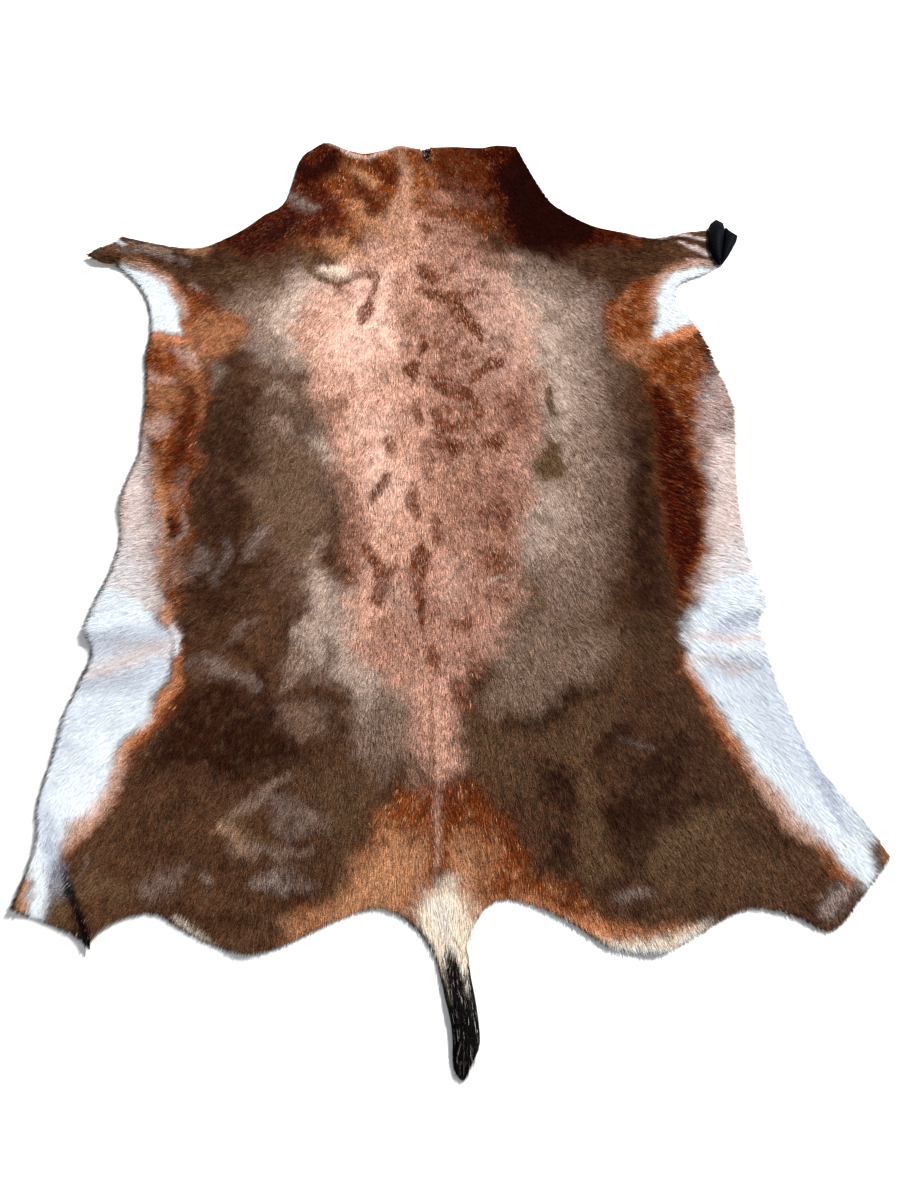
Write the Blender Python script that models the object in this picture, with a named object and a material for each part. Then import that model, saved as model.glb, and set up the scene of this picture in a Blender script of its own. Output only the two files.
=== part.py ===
"""Blesbok hide lying on its flesh side: one skin with its short coat, the brush of its tail
and the two horn claws left on one foreleg.

Metres, +Z up. +Y points to the neck and +X to the foreleg with the claws. The origin is on the
floor, under the middle of the hide's box. Tables are in millimetres.
"""

import math
from collections import namedtuple

import bmesh
import bpy
import numpy as np
from mathutils.geometry import delaunay_2d_cdt

MM = 0.001

# Driving sizes, in millimetres
SKIN = 1.5              # tanned skin
COAT = 2.6              # depth of the lying hair over the body
RIM_COAT = 0.7          # what is left of it at the cut edge
COAT_FADE = 9.0         # way in from the edge over which the coat reaches its depth
GAP = 0.3               # clearance between pieces
EDGE_STEP = 10.0        # spacing of the points along the edge
CURVE_STEPS = 16        # points worked out between two landmarks before they are spaced evenly
FIELD_STEP = 31.0       # spacing of the points over the flat middle
RING_INSET = 9.0        # first row of points inside the edge
POINT_GAP = 6.5         # nearest that two inner points may lie
CURL_REACH = 60.0       # way in from the edge that lifts a little
CURL_RISE = 2.4         # how far the edge lifts at most
TAIL_CUT = -534.0       # where the tail's skin ends and its brush begins

# The cut edge, seen from above and taken against the clock. Each landmark is soft, with the edge
# curving through it, or sharp, with a corner there.
SOFT, SHARP = True, False
Landmark = namedtuple("Landmark", "name x y soft")

NECK = (
    Landmark("right corner", 137.5, 621.5, SHARP),
    Landmark("right nape", 104, 627, SOFT),
    Landmark("nape nick", 86, 623.5, SOFT),
    Landmark("nape", 45, 628, SOFT),
    Landmark("slit, right lip", 5, 627, SHARP),
    Landmark("slit, end", 2.5, 599, SHARP),
    Landmark("slit, left lip", -5, 624, SHARP),
    Landmark("left nape", -38, 629.5, SOFT),
    Landmark("nape dip", -90, 619, SOFT),
    Landmark("nape bump", -146, 637, SOFT),
    Landmark("left corner", -182, 620, SOFT),
)
LEFT_SHOULDER = (
    Landmark("neck side", -196, 580, SOFT),
    Landmark("neck foot", -206, 543, SOFT),
    Landmark("notch", -219, 525, SOFT),
    Landmark("brow", -234, 518, SOFT),
    Landmark("slope", -262, 493, SOFT),
    Landmark("point", -300, 471, SOFT),
    Landmark("hollow", -334, 460, SOFT),
    Landmark("foreleg, upper edge", -388, 469.5, SOFT),
    Landmark("foreleg, hump", -438, 483.5, SHARP),
)
LEFT_FORELEG = (
    Landmark("nick", -455, 466, SOFT),
    Landmark("tip", -489.5, 450, SHARP),
    Landmark("lower edge", -467, 434, SOFT),
    Landmark("heel", -446, 431, SHARP),
    Landmark("bend", -419, 405, SOFT),
    Landmark("armpit", -399, 371, SOFT),
    Landmark("armpit seam", -390.5, 320, SOFT),
)
LEFT_FLANK = (
    Landmark("top", -395.5, 281, SOFT),
    Landmark("hollow", -390.5, 225, SOFT),
    Landmark("fray", -394.5, 160, SOFT),
    Landmark("step", -394, 135, SOFT),
    Landmark("belly, start", -407, 98, SOFT),
    Landmark("belly, bulge", -415, 48, SOFT),
    Landmark("belly, hollow", -411.5, 8, SOFT),
    Landmark("belly, slope", -425, -44, SOFT),
    Landmark("groin, bulge", -442.5, -86, SOFT),
    Landmark("groin, lip", -446.5, -111, SOFT),
    Landmark("groin, notch", -437.5, -131, SOFT),
)
LEFT_HIND = (
    Landmark("groin, foot", -443, -166, SOFT),
    Landmark("outer edge, top", -462, -207, SOFT),
    Landmark("outer edge, middle", -472, -258, SOFT),
    Landmark("outer edge, bulge", -487.5, -328, SOFT),
    Landmark("outer edge, hollow", -484, -358, SOFT),
    Landmark("outer corner", -504.5, -440, SHARP),
    Landmark("end cut", -473, -453.5, SOFT),
    Landmark("end cut, bow", -434, -469, SOFT),
    Landmark("pleat tip", -408.5, -489, SHARP),
    Landmark("pleat hollow", -400, -467, SOFT),
    Landmark("thigh hollow", -344, -450, SOFT),
    Landmark("thigh turn", -312, -468, SOFT),
)
RUMP = (
    Landmark("left lobe", -236, -499.5, SOFT),
    Landmark("left slope", -172, -481.5, SOFT),
    Landmark("left of tail", -92, -454, SOFT),
    Landmark("left tail shoulder", -53, -471, SOFT),
    Landmark("tail, left", -27, -506, SOFT),
    Landmark("tail end, left", -20.5, TAIL_CUT, SHARP),
    Landmark("tail end, right", 15.5, TAIL_CUT, SHARP),
    Landmark("tail, right", 12.5, -501, SOFT),
    Landmark("right tail shoulder", 27, -467, SOFT),
    Landmark("right of tail", 51, -450.5, SOFT),
    Landmark("right slope", 103, -465, SOFT),
    Landmark("right step", 146, -491, SOFT),
    Landmark("right foot", 170, -508, SOFT),
    Landmark("right lobe", 226, -516, SOFT),
    Landmark("right rise", 277, -496, SOFT),
)
RIGHT_HIND = (
    Landmark("thigh hollow", 330, -472, SOFT),
    Landmark("lower edge", 385, -484, SOFT),
    Landmark("lower corner", 420, -501.5, SOFT),
    Landmark("end cut", 455, -474, SOFT),
    Landmark("outer corner", 504, -422.5, SHARP),
    Landmark("outer edge, foot", 472, -362, SOFT),
    Landmark("outer edge, middle", 435, -303, SOFT),
    Landmark("outer edge, hollow", 418, -257, SOFT),
    Landmark("outer edge, top", 402, -199, SOFT),
    Landmark("groin, foot", 391, -140, SOFT),
    Landmark("groin, notch", 392, -127, SHARP),
)
RIGHT_FLANK = (
    Landmark("groin, lip", 403.5, -117, SOFT),
    Landmark("groin, bulge", 400, -88, SOFT),
    Landmark("belly, hollow", 389, -5, SOFT),
    Landmark("belly", 393.5, 95, SOFT),
    Landmark("bulge", 400.5, 168, SOFT),
    Landmark("turn", 384, 240, SOFT),
    Landmark("top", 372, 288, SOFT),
    Landmark("armpit, foot", 355, 321, SOFT),
    Landmark("armpit", 343, 344, SOFT),
    Landmark("armpit, head", 352, 369.5, SOFT),
)
RIGHT_FORELEG = (
    Landmark("lower edge", 388, 382, SOFT),
    Landmark("heel", 410, 397, SHARP),
    Landmark("claw bed, lower", 427, 421, SOFT),
    Landmark("claw bed, tip", 433, 437, SOFT),
    Landmark("claw bed, upper", 421, 457, SOFT),
    Landmark("hump", 402, 462, SHARP),
    Landmark("upper edge", 372, 461, SOFT),
    Landmark("hollow", 320, 450, SOFT),
)
RIGHT_SHOULDER = (
    Landmark("point", 288, 460.5, SOFT),
    Landmark("slope", 243, 474, SOFT),
    Landmark("brow", 205, 498, SOFT),
    Landmark("neck foot", 181, 520, SOFT),
    Landmark("neck side", 160, 562, SOFT),
)
EDGE = (NECK + LEFT_SHOULDER + LEFT_FORELEG + LEFT_FLANK + LEFT_HIND + RUMP
        + RIGHT_HIND + RIGHT_FLANK + RIGHT_FORELEG + RIGHT_SHOULDER)

# Soft waves of the whole sheet: it rises along a line, by rise at its start and last at its end,
# and lies down again over reach on both sides
Wave = namedtuple("Wave", "name x1 y1 x2 y2 rise last reach")
WAVES = (
    Wave("left foreleg arch", -470, 452, -335, 444, 11.0, 3.0, 25),
    Wave("left foreleg hump", -443, 468, -400, 462, 6.0, 1.0, 20),
    Wave("right foreleg arch", 385, 429, 300, 424, 6.5, 1.0, 34),
    Wave("left groin, upper wave", -455, -117, -330, -103, 9.0, 0.0, 25),
    Wave("left groin, lower wave", -455, -176, -335, -154, 6.5, 0.0, 23),
    Wave("right groin, upper wave", 412, -113, 312, -111, 9.5, 0.0, 23),
    Wave("right groin, lower wave", 402, -170, 300, -158, 6.5, 0.0, 23),
    Wave("left hind outer roll", -506, -438, -490, -318, 7.5, 0.0, 26),
    Wave("left hind inner roll", -436, -380, -455, -308, 4.5, 0.0, 27),
    Wave("right hind outer roll", 508, -420, 450, -306, 7.5, 0.0, 28),
    Wave("right hind inner roll", 436, -398, 392, -290, 4.5, 0.0, 29),
    Wave("left nape roll", -145, 638, -128, 596, 7.5, 0.0, 30),
    Wave("middle nape roll", -38, 634, -34, 600, 5.5, 0.0, 26),
    Wave("left flank lift", -416, 66, -388, 54, 5.5, 0.0, 40),
    Wave("right flank lift", 404, 170, 372, 166, 5.5, 0.0, 42),
    Wave("right lobe lift", 226, -518, 222, -488, 5.5, 0.0, 36),
    Wave("left lobe lift", -238, -502, -232, -474, 4.5, 0.0, 36),
)
WAVE_ROWS = (-1.0, -0.62, -0.3, 0.0, 0.3, 0.62, 1.0)    # rows of points, in shares of reach

# Pleats: the sheet climbs to rise over the steep width on the right of the line, seen along it
# from start to end, and falls back gently over the easy width on its left
Pleat = namedtuple("Pleat", "name x1 y1 x2 y2 rise steep easy")
PLEATS = (
    Pleat("left hind pleat", -447, -386, -404.5, -492, 10.5, 6.5, 46),
    Pleat("left armpit seam", -396, 321.5, -346, 309, 3.2, 5.0, 26),
)
PLEAT_START = 0.35      # share of its rise that a pleat has at its start
PLEAT_STEEP_ROWS = (-1.0, -0.45)
PLEAT_EASY_ROWS = (0.0, 0.2, 0.45, 0.72, 1.0)
ROW_STEP = 14.0         # spacing of the points along each row

# Slow unevenness of the lifted edge: wavelength over 2 pi along x, y and the diagonal, and phases
SWAY_X, SWAY_Y, SWAY_DIAGONAL = 41.0, 53.0, 29.0
SWAY_PHASE_X, SWAY_PHASE_Y = 1.3, 0.4

# The tail's skin is drawn together over its own hair, so it grows thicker towards its end
TAIL_START = -448.0
TAIL_SETTLE = 30.0      # over which it comes down to the floor
TAIL_THICK = 7.5
TAIL_HALF = 19.0
TAIL_AXIS = -3.0
TAIL_ROWS = (-12.0, -5.5, 0.0, 5.5, 12.0)

# Level bed of thin skin that carries the claws
BED_X, BED_Y = 417.0, 433.0
BED_REACH = 70.0
BED_EDGE = 2.6          # steepness of its border
BED_THICK = 2.6

# Tail brush, from its root to its tip: its two sides and its height over the floor
BrushStation = namedtuple("BrushStation", "y left right high")
BRUSH = (
    BrushStation(-534.3, -19.0, 14.5, 10.5),
    BrushStation(-546, -17.5, 16.8, 12.0),
    BrushStation(-560, -14.5, 19.0, 13.0),
    BrushStation(-575, -10.8, 20.5, 13.5),
    BrushStation(-590, -9.3, 21.5, 13.2),
    BrushStation(-603, -9.3, 20.0, 12.4),
    BrushStation(-614, -9.6, 15.5, 11.0),
    BrushStation(-622, -8.8, 11.0, 8.6),
    BrushStation(-628, -6.6, 6.8, 5.0),
)
BRUSH_SIDES = 30        # points round the brush, every second one in a groove between two locks
BRUSH_GROOVE = 0.1      # depth of a groove, as a share of the radius
BRUSH_MIDDLE = 0.34     # height of its widest place, as a share of its height

# Locks that part at the brush's end: where each leaves the brush and at what height, and its tip
Lock = namedtuple("Lock", "x y seat tip_x tip_y width high")
LOCKS = (
    Lock(-6.8, -606, 0.0, -8.8, -630.5, 5.6, 5.0),
    Lock(-3.4, -610, 0.0, -5.4, -635.0, 5.6, 6.0),
    Lock(0.4, -612, 0.0, -1.6, -637.0, 5.8, 6.4),
    Lock(4.4, -610, 0.0, 2.4, -636.0, 5.8, 6.4),
    Lock(8.4, -606, 0.0, 6.8, -632.5, 5.8, 6.0),
    Lock(12.2, -600, 0.0, 11.2, -627.0, 5.6, 5.6),
    Lock(16.0, -592, 0.0, 16.6, -618.0, 5.6, 5.2),
    Lock(18.2, -580, 0.0, 20.0, -606.0, 5.2, 4.8),
    Lock(-4.0, -600, 5.0, -4.8, -629.0, 5.4, 5.0),
    Lock(1.6, -602, 5.6, 0.2, -632.0, 5.6, 5.2),
    Lock(7.2, -600, 5.4, 5.6, -628.5, 5.6, 5.2),
    Lock(12.6, -592, 5.0, 12.4, -619.0, 5.4, 5.0),
)
LOCK_TIP = 0.9          # width left at a lock's end
LOCK_LEAST = 1.2        # least height of a lock
LOCK_STATIONS = ((0.0, 1.0), (0.45, 0.92), (0.8, 0.6))  # share of its length, share of its width
LOCK_BACK = 0.55        # width of its back, as a share of its foot

# Claws of the right foreleg, from the coronet to the tip: two sides and height over the bed
ClawStation = namedtuple("ClawStation", "y left right high")
CLAW_INNER = (
    ClawStation(473.5, 412.5, 417.0, 4.0),
    ClawStation(466, 404.5, 424.5, 8.5),
    ClawStation(456, 401.5, 424.8, 11.5),
    ClawStation(442, 400.0, 421.6, 13.0),
    ClawStation(428, 399.6, 418.4, 12.0),
    ClawStation(414, 402.0, 415.2, 9.5),
    ClawStation(404, 406.0, 413.0, 7.0),
    ClawStation(398, 409.5, 411.6, 4.0),
)
CLAW_OUTER = (
    ClawStation(459.5, 425.9, 428.5, 4.0),
    ClawStation(452, 424.4, 432.5, 7.0),
    ClawStation(443, 422.3, 442.0, 9.5),
    ClawStation(436, 420.8, 439.5, 10.5),
    ClawStation(424, 418.1, 432.5, 10.0),
    ClawStation(412, 415.3, 425.0, 8.5),
    ClawStation(404, 413.5, 419.0, 6.0),
    ClawStation(399, 412.5, 414.5, 3.5),
)
CLAW_SIDES = 11         # points over a claw's back
CLAW_WALL = 0.2         # upright part of its sides, as a share of its height

# Finishes: colour, roughness
COAT_BROWN = (0.16, 0.085, 0.05), 0.75
BRUSH_BLACK = (0.018, 0.014, 0.013), 0.6
HORN_BLACK = (0.012, 0.012, 0.014), 0.2


def clear_scene():
    for thing in list(bpy.data.objects):
        bpy.data.objects.remove(thing, do_unlink=True)


def material(name, finish):
    colour, roughness = finish
    made = bpy.data.materials.new(name)
    made.use_nodes = True
    shader = made.node_tree.nodes["Principled BSDF"]
    shader.inputs["Base Color"].default_value = (*colour, 1.0)
    shader.inputs["Roughness"].default_value = roughness
    return made


def add_object(name, bm, finish, smooth=math.radians(35)):
    """Puts a bmesh in the scene as one named object with its own material."""
    bmesh.ops.recalc_face_normals(bm, faces=bm.faces)
    mesh = bpy.data.meshes.new(name)
    bm.to_mesh(mesh)
    bm.free()
    mesh.shade_smooth()
    mesh.set_sharp_from_angle(angle=smooth)
    mesh.materials.append(material(name, finish))
    made = bpy.data.objects.new(name, mesh)
    bpy.context.scene.collection.objects.link(made)
    return made


def curve_run(before, start, end, after, count):
    """Points of a centripetal Catmull-Rom curve from start to end, without the end."""
    knots = [0.0]
    chain = [np.array(p, float) for p in (before, start, end, after)]
    for a, b in zip(chain, chain[1:]):
        knots.append(knots[-1] + max(math.dist(a, b), 1e-6) ** 0.5)
    points = []
    for t in np.linspace(knots[1], knots[2], count, endpoint=False):
        level = chain
        for span in (1, 2, 3):
            level = [((knots[i + span] - t) * a + (t - knots[i]) * b) / (knots[i + span] - knots[i])
                     for i, (a, b) in enumerate(zip(level, level[1:]))]
        points.append(level[0])
    return points


def even_run(points, step):
    """The same line with its points spaced evenly, without the last one."""
    points = np.array(points)
    lengths = np.linalg.norm(np.diff(points, axis=0), axis=1)
    along = np.concatenate(([0.0], np.cumsum(lengths)))
    count = max(1, round(along[-1] / step))
    marks = np.linspace(0.0, along[-1], count, endpoint=False)
    return np.column_stack([np.interp(marks, along, points[:, k]) for k in (0, 1)])


def cut_edge():
    """The hide's outline: soft runs between sharp corners, as evenly spaced points in mm."""
    count = len(EDGE)
    corners = [i for i, mark in enumerate(EDGE) if mark.soft is SHARP]
    outline = []
    for first, last in zip(corners, corners[1:] + [corners[0] + count]):
        run = [EDGE[i % count] for i in range(first, last + 1)]
        spots = [(mark.x, mark.y) for mark in run]
        spots = [spots[0]] + spots + [spots[-1]]
        spots[0] = tuple(2 * np.array(spots[1]) - np.array(spots[2]))
        spots[-1] = tuple(2 * np.array(spots[-2]) - np.array(spots[-3]))
        fine = []
        for i in range(1, len(spots) - 2):
            fine += curve_run(*spots[i - 1:i + 3], CURVE_STEPS)
        fine.append(np.array(spots[-2]))
        outline.append(even_run(fine, EDGE_STEP))
    return np.vstack(outline)


def segment_reach(points, start, end):
    """Signed side, distance across and share along a line, for each point."""
    start, end = np.array(start, float), np.array(end, float)
    way = end - start
    length = np.linalg.norm(way)
    way = way / length
    rel = points - start
    along = rel @ way
    side = way[0] * rel[:, 1] - way[1] * rel[:, 0]
    over = np.maximum(np.maximum(-along, along - length), 0.0)
    return side, over, np.clip(along / length, 0.0, 1.0)


def edge_distance(points, outline):
    """Distance of each point to the outline."""
    nearest = np.full(len(points), 1e9)
    for a, b in zip(outline, np.roll(outline, -1, axis=0)):
        side, over, _ = segment_reach(points, a, b)
        nearest = np.minimum(nearest, np.hypot(side, over))
    return nearest


def inside(points, outline):
    """Even-odd test of each point against the outline."""
    within = np.zeros(len(points), bool)
    for a, b in zip(outline, np.roll(outline, -1, axis=0)):
        spans = (a[1] > points[:, 1]) != (b[1] > points[:, 1])
        rise = b[1] - a[1] if b[1] != a[1] else 1.0
        cross = a[0] + (points[:, 1] - a[1]) / rise * (b[0] - a[0])
        within ^= spans & (points[:, 0] < cross)
    return within


def bump(share):
    """One at 0, falling smoothly to zero at 1 and beyond."""
    return np.clip(1.0 - share * share, 0.0, 1.0) ** 2


def bed_share(points):
    """One on the level bed under the claws, zero away from it."""
    far = np.hypot(points[:, 0] - BED_X, points[:, 1] - BED_Y)
    return np.clip(BED_EDGE * bump(far / BED_REACH), 0.0, 1.0)


def lift(points, depth):
    """How far the sheet's underside stands off the floor."""
    x, y = points[:, 0], points[:, 1]
    sway = (0.5 + 0.5 * np.sin(x / SWAY_X + SWAY_PHASE_X) * np.sin(y / SWAY_Y + SWAY_PHASE_Y)
            + 0.35 * np.sin((x + y) / SWAY_DIAGONAL))
    rise = CURL_RISE * np.clip(sway, 0.0, 1.0) * np.clip(1.0 - depth / CURL_REACH, 0.0, 1.0) ** 2
    for wave in WAVES:
        side, over, along = segment_reach(points, (wave.x1, wave.y1), (wave.x2, wave.y2))
        height = wave.rise + (wave.last - wave.rise) * along ** 1.5
        rise = np.maximum(rise, height * bump(np.hypot(side, over) / wave.reach))
    for pleat in PLEATS:
        side, over, along = segment_reach(points, (pleat.x1, pleat.y1), (pleat.x2, pleat.y2))
        width = np.where(side < 0.0, pleat.steep, pleat.easy)
        height = pleat.rise * (PLEAT_START + (1.0 - PLEAT_START) * along)
        rise = np.maximum(rise, height * bump(np.hypot(side / width, over / pleat.steep)))
    tail = np.clip((TAIL_START - y) / TAIL_SETTLE, 0.0, 1.0) * (np.abs(x - TAIL_AXIS) < 3 * TAIL_HALF)
    return rise * (1.0 - bed_share(points)) * (1.0 - tail)


def thickness(points, depth):
    """Skin and lying coat together, thin at the cut edge."""
    x, y = points[:, 0], points[:, 1]
    coat = RIM_COAT + (COAT - RIM_COAT) * (1.0 - np.exp(-depth / COAT_FADE))
    grown = np.clip((TAIL_START - y) / (TAIL_START - TAIL_CUT), 0.0, 1.0)
    rolled = TAIL_THICK * grown * bump((x - TAIL_AXIS) / TAIL_HALF)
    bed = bed_share(points)
    return (SKIN + coat + rolled) * (1.0 - bed) + BED_THICK * bed


def row_points(start, end, offsets):
    """Points in rows beside a line, at the given distances to its left."""
    start, end = np.array(start, float), np.array(end, float)
    length = np.linalg.norm(end - start)
    way = (end - start) / length
    across = np.array((-way[1], way[0]))
    shares = np.linspace(0.0, 1.0, max(2, round(length / ROW_STEP)))
    return [start + way * length * share + across * offset for offset in offsets for share in shares]


def fold_points():
    """Rows of points that carry the tail's roll, each pleat and each wave."""
    spots = row_points((TAIL_AXIS, TAIL_START), (TAIL_AXIS, TAIL_CUT + 4.0), TAIL_ROWS)
    for pleat in PLEATS:
        offsets = [share * pleat.steep for share in PLEAT_STEEP_ROWS]
        offsets += [share * pleat.easy for share in PLEAT_EASY_ROWS]
        spots += row_points((pleat.x1, pleat.y1), (pleat.x2, pleat.y2), offsets)
    for wave in WAVES:
        offsets = [share * wave.reach for share in WAVE_ROWS]
        spots += row_points((wave.x1, wave.y1), (wave.x2, wave.y2), offsets)
    return spots


def even_field(outline):
    """Points of an even net of triangles over the outline's box."""
    low, high = outline.min(axis=0), outline.max(axis=0)
    field = []
    for row, y in enumerate(np.arange(low[1], high[1], FIELD_STEP * math.sqrt(0.75))):
        first = low[0] + (row % 2) * FIELD_STEP / 2
        field += [(x, y) for x in np.arange(first, high[0], FIELD_STEP)]
    return field


def field_points(outline):
    """Points inside the edge: fold rows first, then a row along the edge, then an even field."""
    ahead = np.roll(outline, -1, axis=0) - np.roll(outline, 1, axis=0)
    ahead /= np.linalg.norm(ahead, axis=1)[:, None]
    ring = outline + np.column_stack((-ahead[:, 1], ahead[:, 0])) * RING_INSET
    kept = np.zeros((0, 2))
    # each group, the nearest that its points may lie to others, and to the edge
    groups = ((fold_points(), POINT_GAP, 0.8 * POINT_GAP),
              (ring, 0.9 * RING_INSET, 0.7 * RING_INSET),
              (even_field(outline), 0.62 * FIELD_STEP, 0.55 * FIELD_STEP))
    for group, gap, margin in groups:
        group = np.array(group)
        group = group[inside(group, outline)]
        group = group[edge_distance(group, outline) > margin]
        for spot in group:
            if not len(kept) or np.min(np.hypot(*(kept - spot).T)) > gap:
                kept = np.vstack((kept, spot))
    return kept


def to_metres(points, shift):
    """Table points, in millimetres, as places in the part's own frame."""
    return [((x + shift[0]) * MM, (y + shift[1]) * MM, z * MM) for x, y, z in points]


def make_hide(shift):
    """The skin with its coat: one closed sheet over the outline, with the same net on both sides."""
    outline = cut_edge()
    spots = np.vstack((outline, field_points(outline)))
    ring = list(range(len(outline)))
    net = delaunay_2d_cdt([tuple(spot) for spot in spots], [], [ring], 1, 1e-4, True)
    flat = np.array([tuple(spot) for spot in net[0]])
    faces = [face for face, source in zip(net[2], net[5]) if source]
    if len(flat) != len(spots):
        raise RuntimeError("the edge crosses itself")
    depth = edge_distance(flat, outline)
    depth[:len(outline)] = 0.0
    low = lift(flat, depth)
    high = low + thickness(flat, depth)
    bm = bmesh.new()
    under = [bm.verts.new(spot) for spot in to_metres(np.column_stack((flat, low)), shift)]
    over = [bm.verts.new(spot) for spot in to_metres(np.column_stack((flat, high)), shift)]
    for face in faces:
        bm.faces.new([over[i] for i in face])
        bm.faces.new([under[i] for i in reversed(face)])
    for i in ring:
        j = (i + 1) % len(ring)
        bm.faces.new((under[i], under[j], over[j], over[i]))
    return add_object("hide", bm, COAT_BROWN)


def loft(bm, rings):
    """Skins a run of closed rings with the same number of points, and caps both ends."""
    made = [[bm.verts.new(point) for point in ring] for ring in rings]
    for ring, following in zip(made, made[1:]):
        for i in range(len(ring)):
            j = (i + 1) % len(ring)
            bm.faces.new((ring[i], ring[j], following[j], following[i]))
    bm.faces.new(list(reversed(made[0])))
    bm.faces.new(made[-1])


def brush_ring(station):
    """One section of the brush: level on the floor, grooved between its locks above."""
    middle = 0.5 * (station.left + station.right)
    half = 0.5 * (station.right - station.left)
    ring = []
    for k in range(BRUSH_SIDES):
        turn = 2 * math.pi * k / BRUSH_SIDES
        swell = 1.0 - BRUSH_GROOVE * (k % 2) * (math.sin(turn) > 0)
        rise = (1.0 - BRUSH_MIDDLE) * math.sin(turn) * swell
        x = middle + half * math.cos(turn) * swell
        ring.append((x, station.y, max(station.high * (BRUSH_MIDDLE + rise), 0.0)))
    return ring


def make_lock(lock, shift):
    """A four-sided lock that tapers to its tip and comes down to the floor."""
    bm = bmesh.new()
    rings = []
    for share, wide in LOCK_STATIONS + ((1.0, LOCK_TIP / lock.width),):
        x = lock.x + (lock.tip_x - lock.x) * share
        y = lock.y + (lock.tip_y - lock.y) * share
        foot = 0.5 * lock.width * wide
        back = foot * LOCK_BACK
        low = lock.seat * (1.0 - share) ** 0.7
        top = low + max(lock.high * wide ** 0.7, LOCK_LEAST)
        rings.append(to_metres(((x - foot, y, low), (x + foot, y, low), (x + back, y, top),
                                (x - back, y, top)), shift))
    loft(bm, rings)
    return add_object("lock", bm, BRUSH_BLACK)


def make_tail_brush(shift):
    """The brush's grooved body with its last locks standing apart, fused into one solid."""
    bm = bmesh.new()
    loft(bm, [to_metres(brush_ring(station), shift) for station in BRUSH])
    brush = add_object("tail_brush", bm, BRUSH_BLACK)
    for number, lock in enumerate(LOCKS):
        shape = make_lock(lock, shift)
        shape.hide_render = True
        shape.display_type = "WIRE"
        fuse = brush.modifiers.new(f"lock {number + 1}", "BOOLEAN")
        fuse.operation = "UNION"
        fuse.object = shape
    return brush


def claw_ring(station):
    """One section of a claw: level below, with short upright sides and a domed back."""
    middle = 0.5 * (station.left + station.right)
    half = 0.5 * (station.right - station.left)
    base = BED_THICK + GAP
    ring = []
    for k in range(CLAW_SIDES):
        turn = math.pi * k / (CLAW_SIDES - 1)
        dome = CLAW_WALL + (1.0 - CLAW_WALL) * math.sin(turn) ** 0.8
        ring.append((middle + half * math.cos(turn), station.y, base + station.high * dome))
    return ring + [(station.left, station.y, base), (station.right, station.y, base)]


def make_claw(name, stations, shift):
    """A horn claw, drawn out to its tip."""
    bm = bmesh.new()
    loft(bm, [to_metres(claw_ring(station), shift) for station in stations])
    return add_object(name, bm, HORN_BLACK)


def centring():
    """The move that brings the middle of the whole box to the origin."""
    outline = cut_edge()
    tips = [(lock.tip_x, lock.tip_y) for lock in LOCKS]
    claws = [(s.right, s.y) for s in CLAW_INNER + CLAW_OUTER]
    reach = np.vstack((outline, tips, claws))
    return -0.5 * (reach.min(axis=0) + reach.max(axis=0))


def main():
    clear_scene()
    shift = centring()
    make_hide(shift)
    make_tail_brush(shift)
    make_claw("claw_inner", CLAW_INNER, shift)
    make_claw("claw_outer", CLAW_OUTER, shift)


main()
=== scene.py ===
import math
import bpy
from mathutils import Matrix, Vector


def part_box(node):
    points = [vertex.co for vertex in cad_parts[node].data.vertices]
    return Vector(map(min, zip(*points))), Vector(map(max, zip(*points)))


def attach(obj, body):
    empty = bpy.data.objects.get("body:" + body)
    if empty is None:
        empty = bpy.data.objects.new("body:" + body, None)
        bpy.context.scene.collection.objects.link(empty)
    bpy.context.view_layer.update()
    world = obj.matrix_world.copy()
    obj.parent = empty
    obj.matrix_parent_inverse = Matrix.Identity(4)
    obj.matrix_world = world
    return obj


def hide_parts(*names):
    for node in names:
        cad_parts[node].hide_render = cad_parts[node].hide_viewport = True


bl_info = {
    "name": "Blesbok Hide",
    "version": (1, 0, 0),
    "blender": (4, 5, 0),
    "location": "3D View > Sidebar > Hide",
    "description": "Gives a flat blesbok hide its skin, coat, tail brush and claws, and sets the stage",
    "category": "Object",
}

from collections import namedtuple
from types import SimpleNamespace

import bmesh
import bpy
import numpy as np
from bpy.props import FloatProperty, FloatVectorProperty, IntProperty, PointerProperty
from bpy.types import Operator, Panel, PropertyGroup
from mathutils import Vector
from mathutils.bvhtree import BVHTree

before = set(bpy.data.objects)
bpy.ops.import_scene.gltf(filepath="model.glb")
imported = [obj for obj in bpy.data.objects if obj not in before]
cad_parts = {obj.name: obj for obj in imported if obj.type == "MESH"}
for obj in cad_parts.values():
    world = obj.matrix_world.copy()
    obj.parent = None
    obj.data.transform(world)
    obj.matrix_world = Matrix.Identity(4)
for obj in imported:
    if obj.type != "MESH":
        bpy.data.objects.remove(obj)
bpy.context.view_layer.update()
MM = 0.001  # the tables below are in millimetres, +X right and +Y to the neck


def shade(*levels):
    """Red, green and blue from 0 to 255, as the linear values that a shader takes."""
    shares = [level / 255 for level in levels]
    return tuple(c / 12.92 if c <= 0.04045 else ((c + 0.055) / 1.055) ** 2.4 for c in shares)


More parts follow.
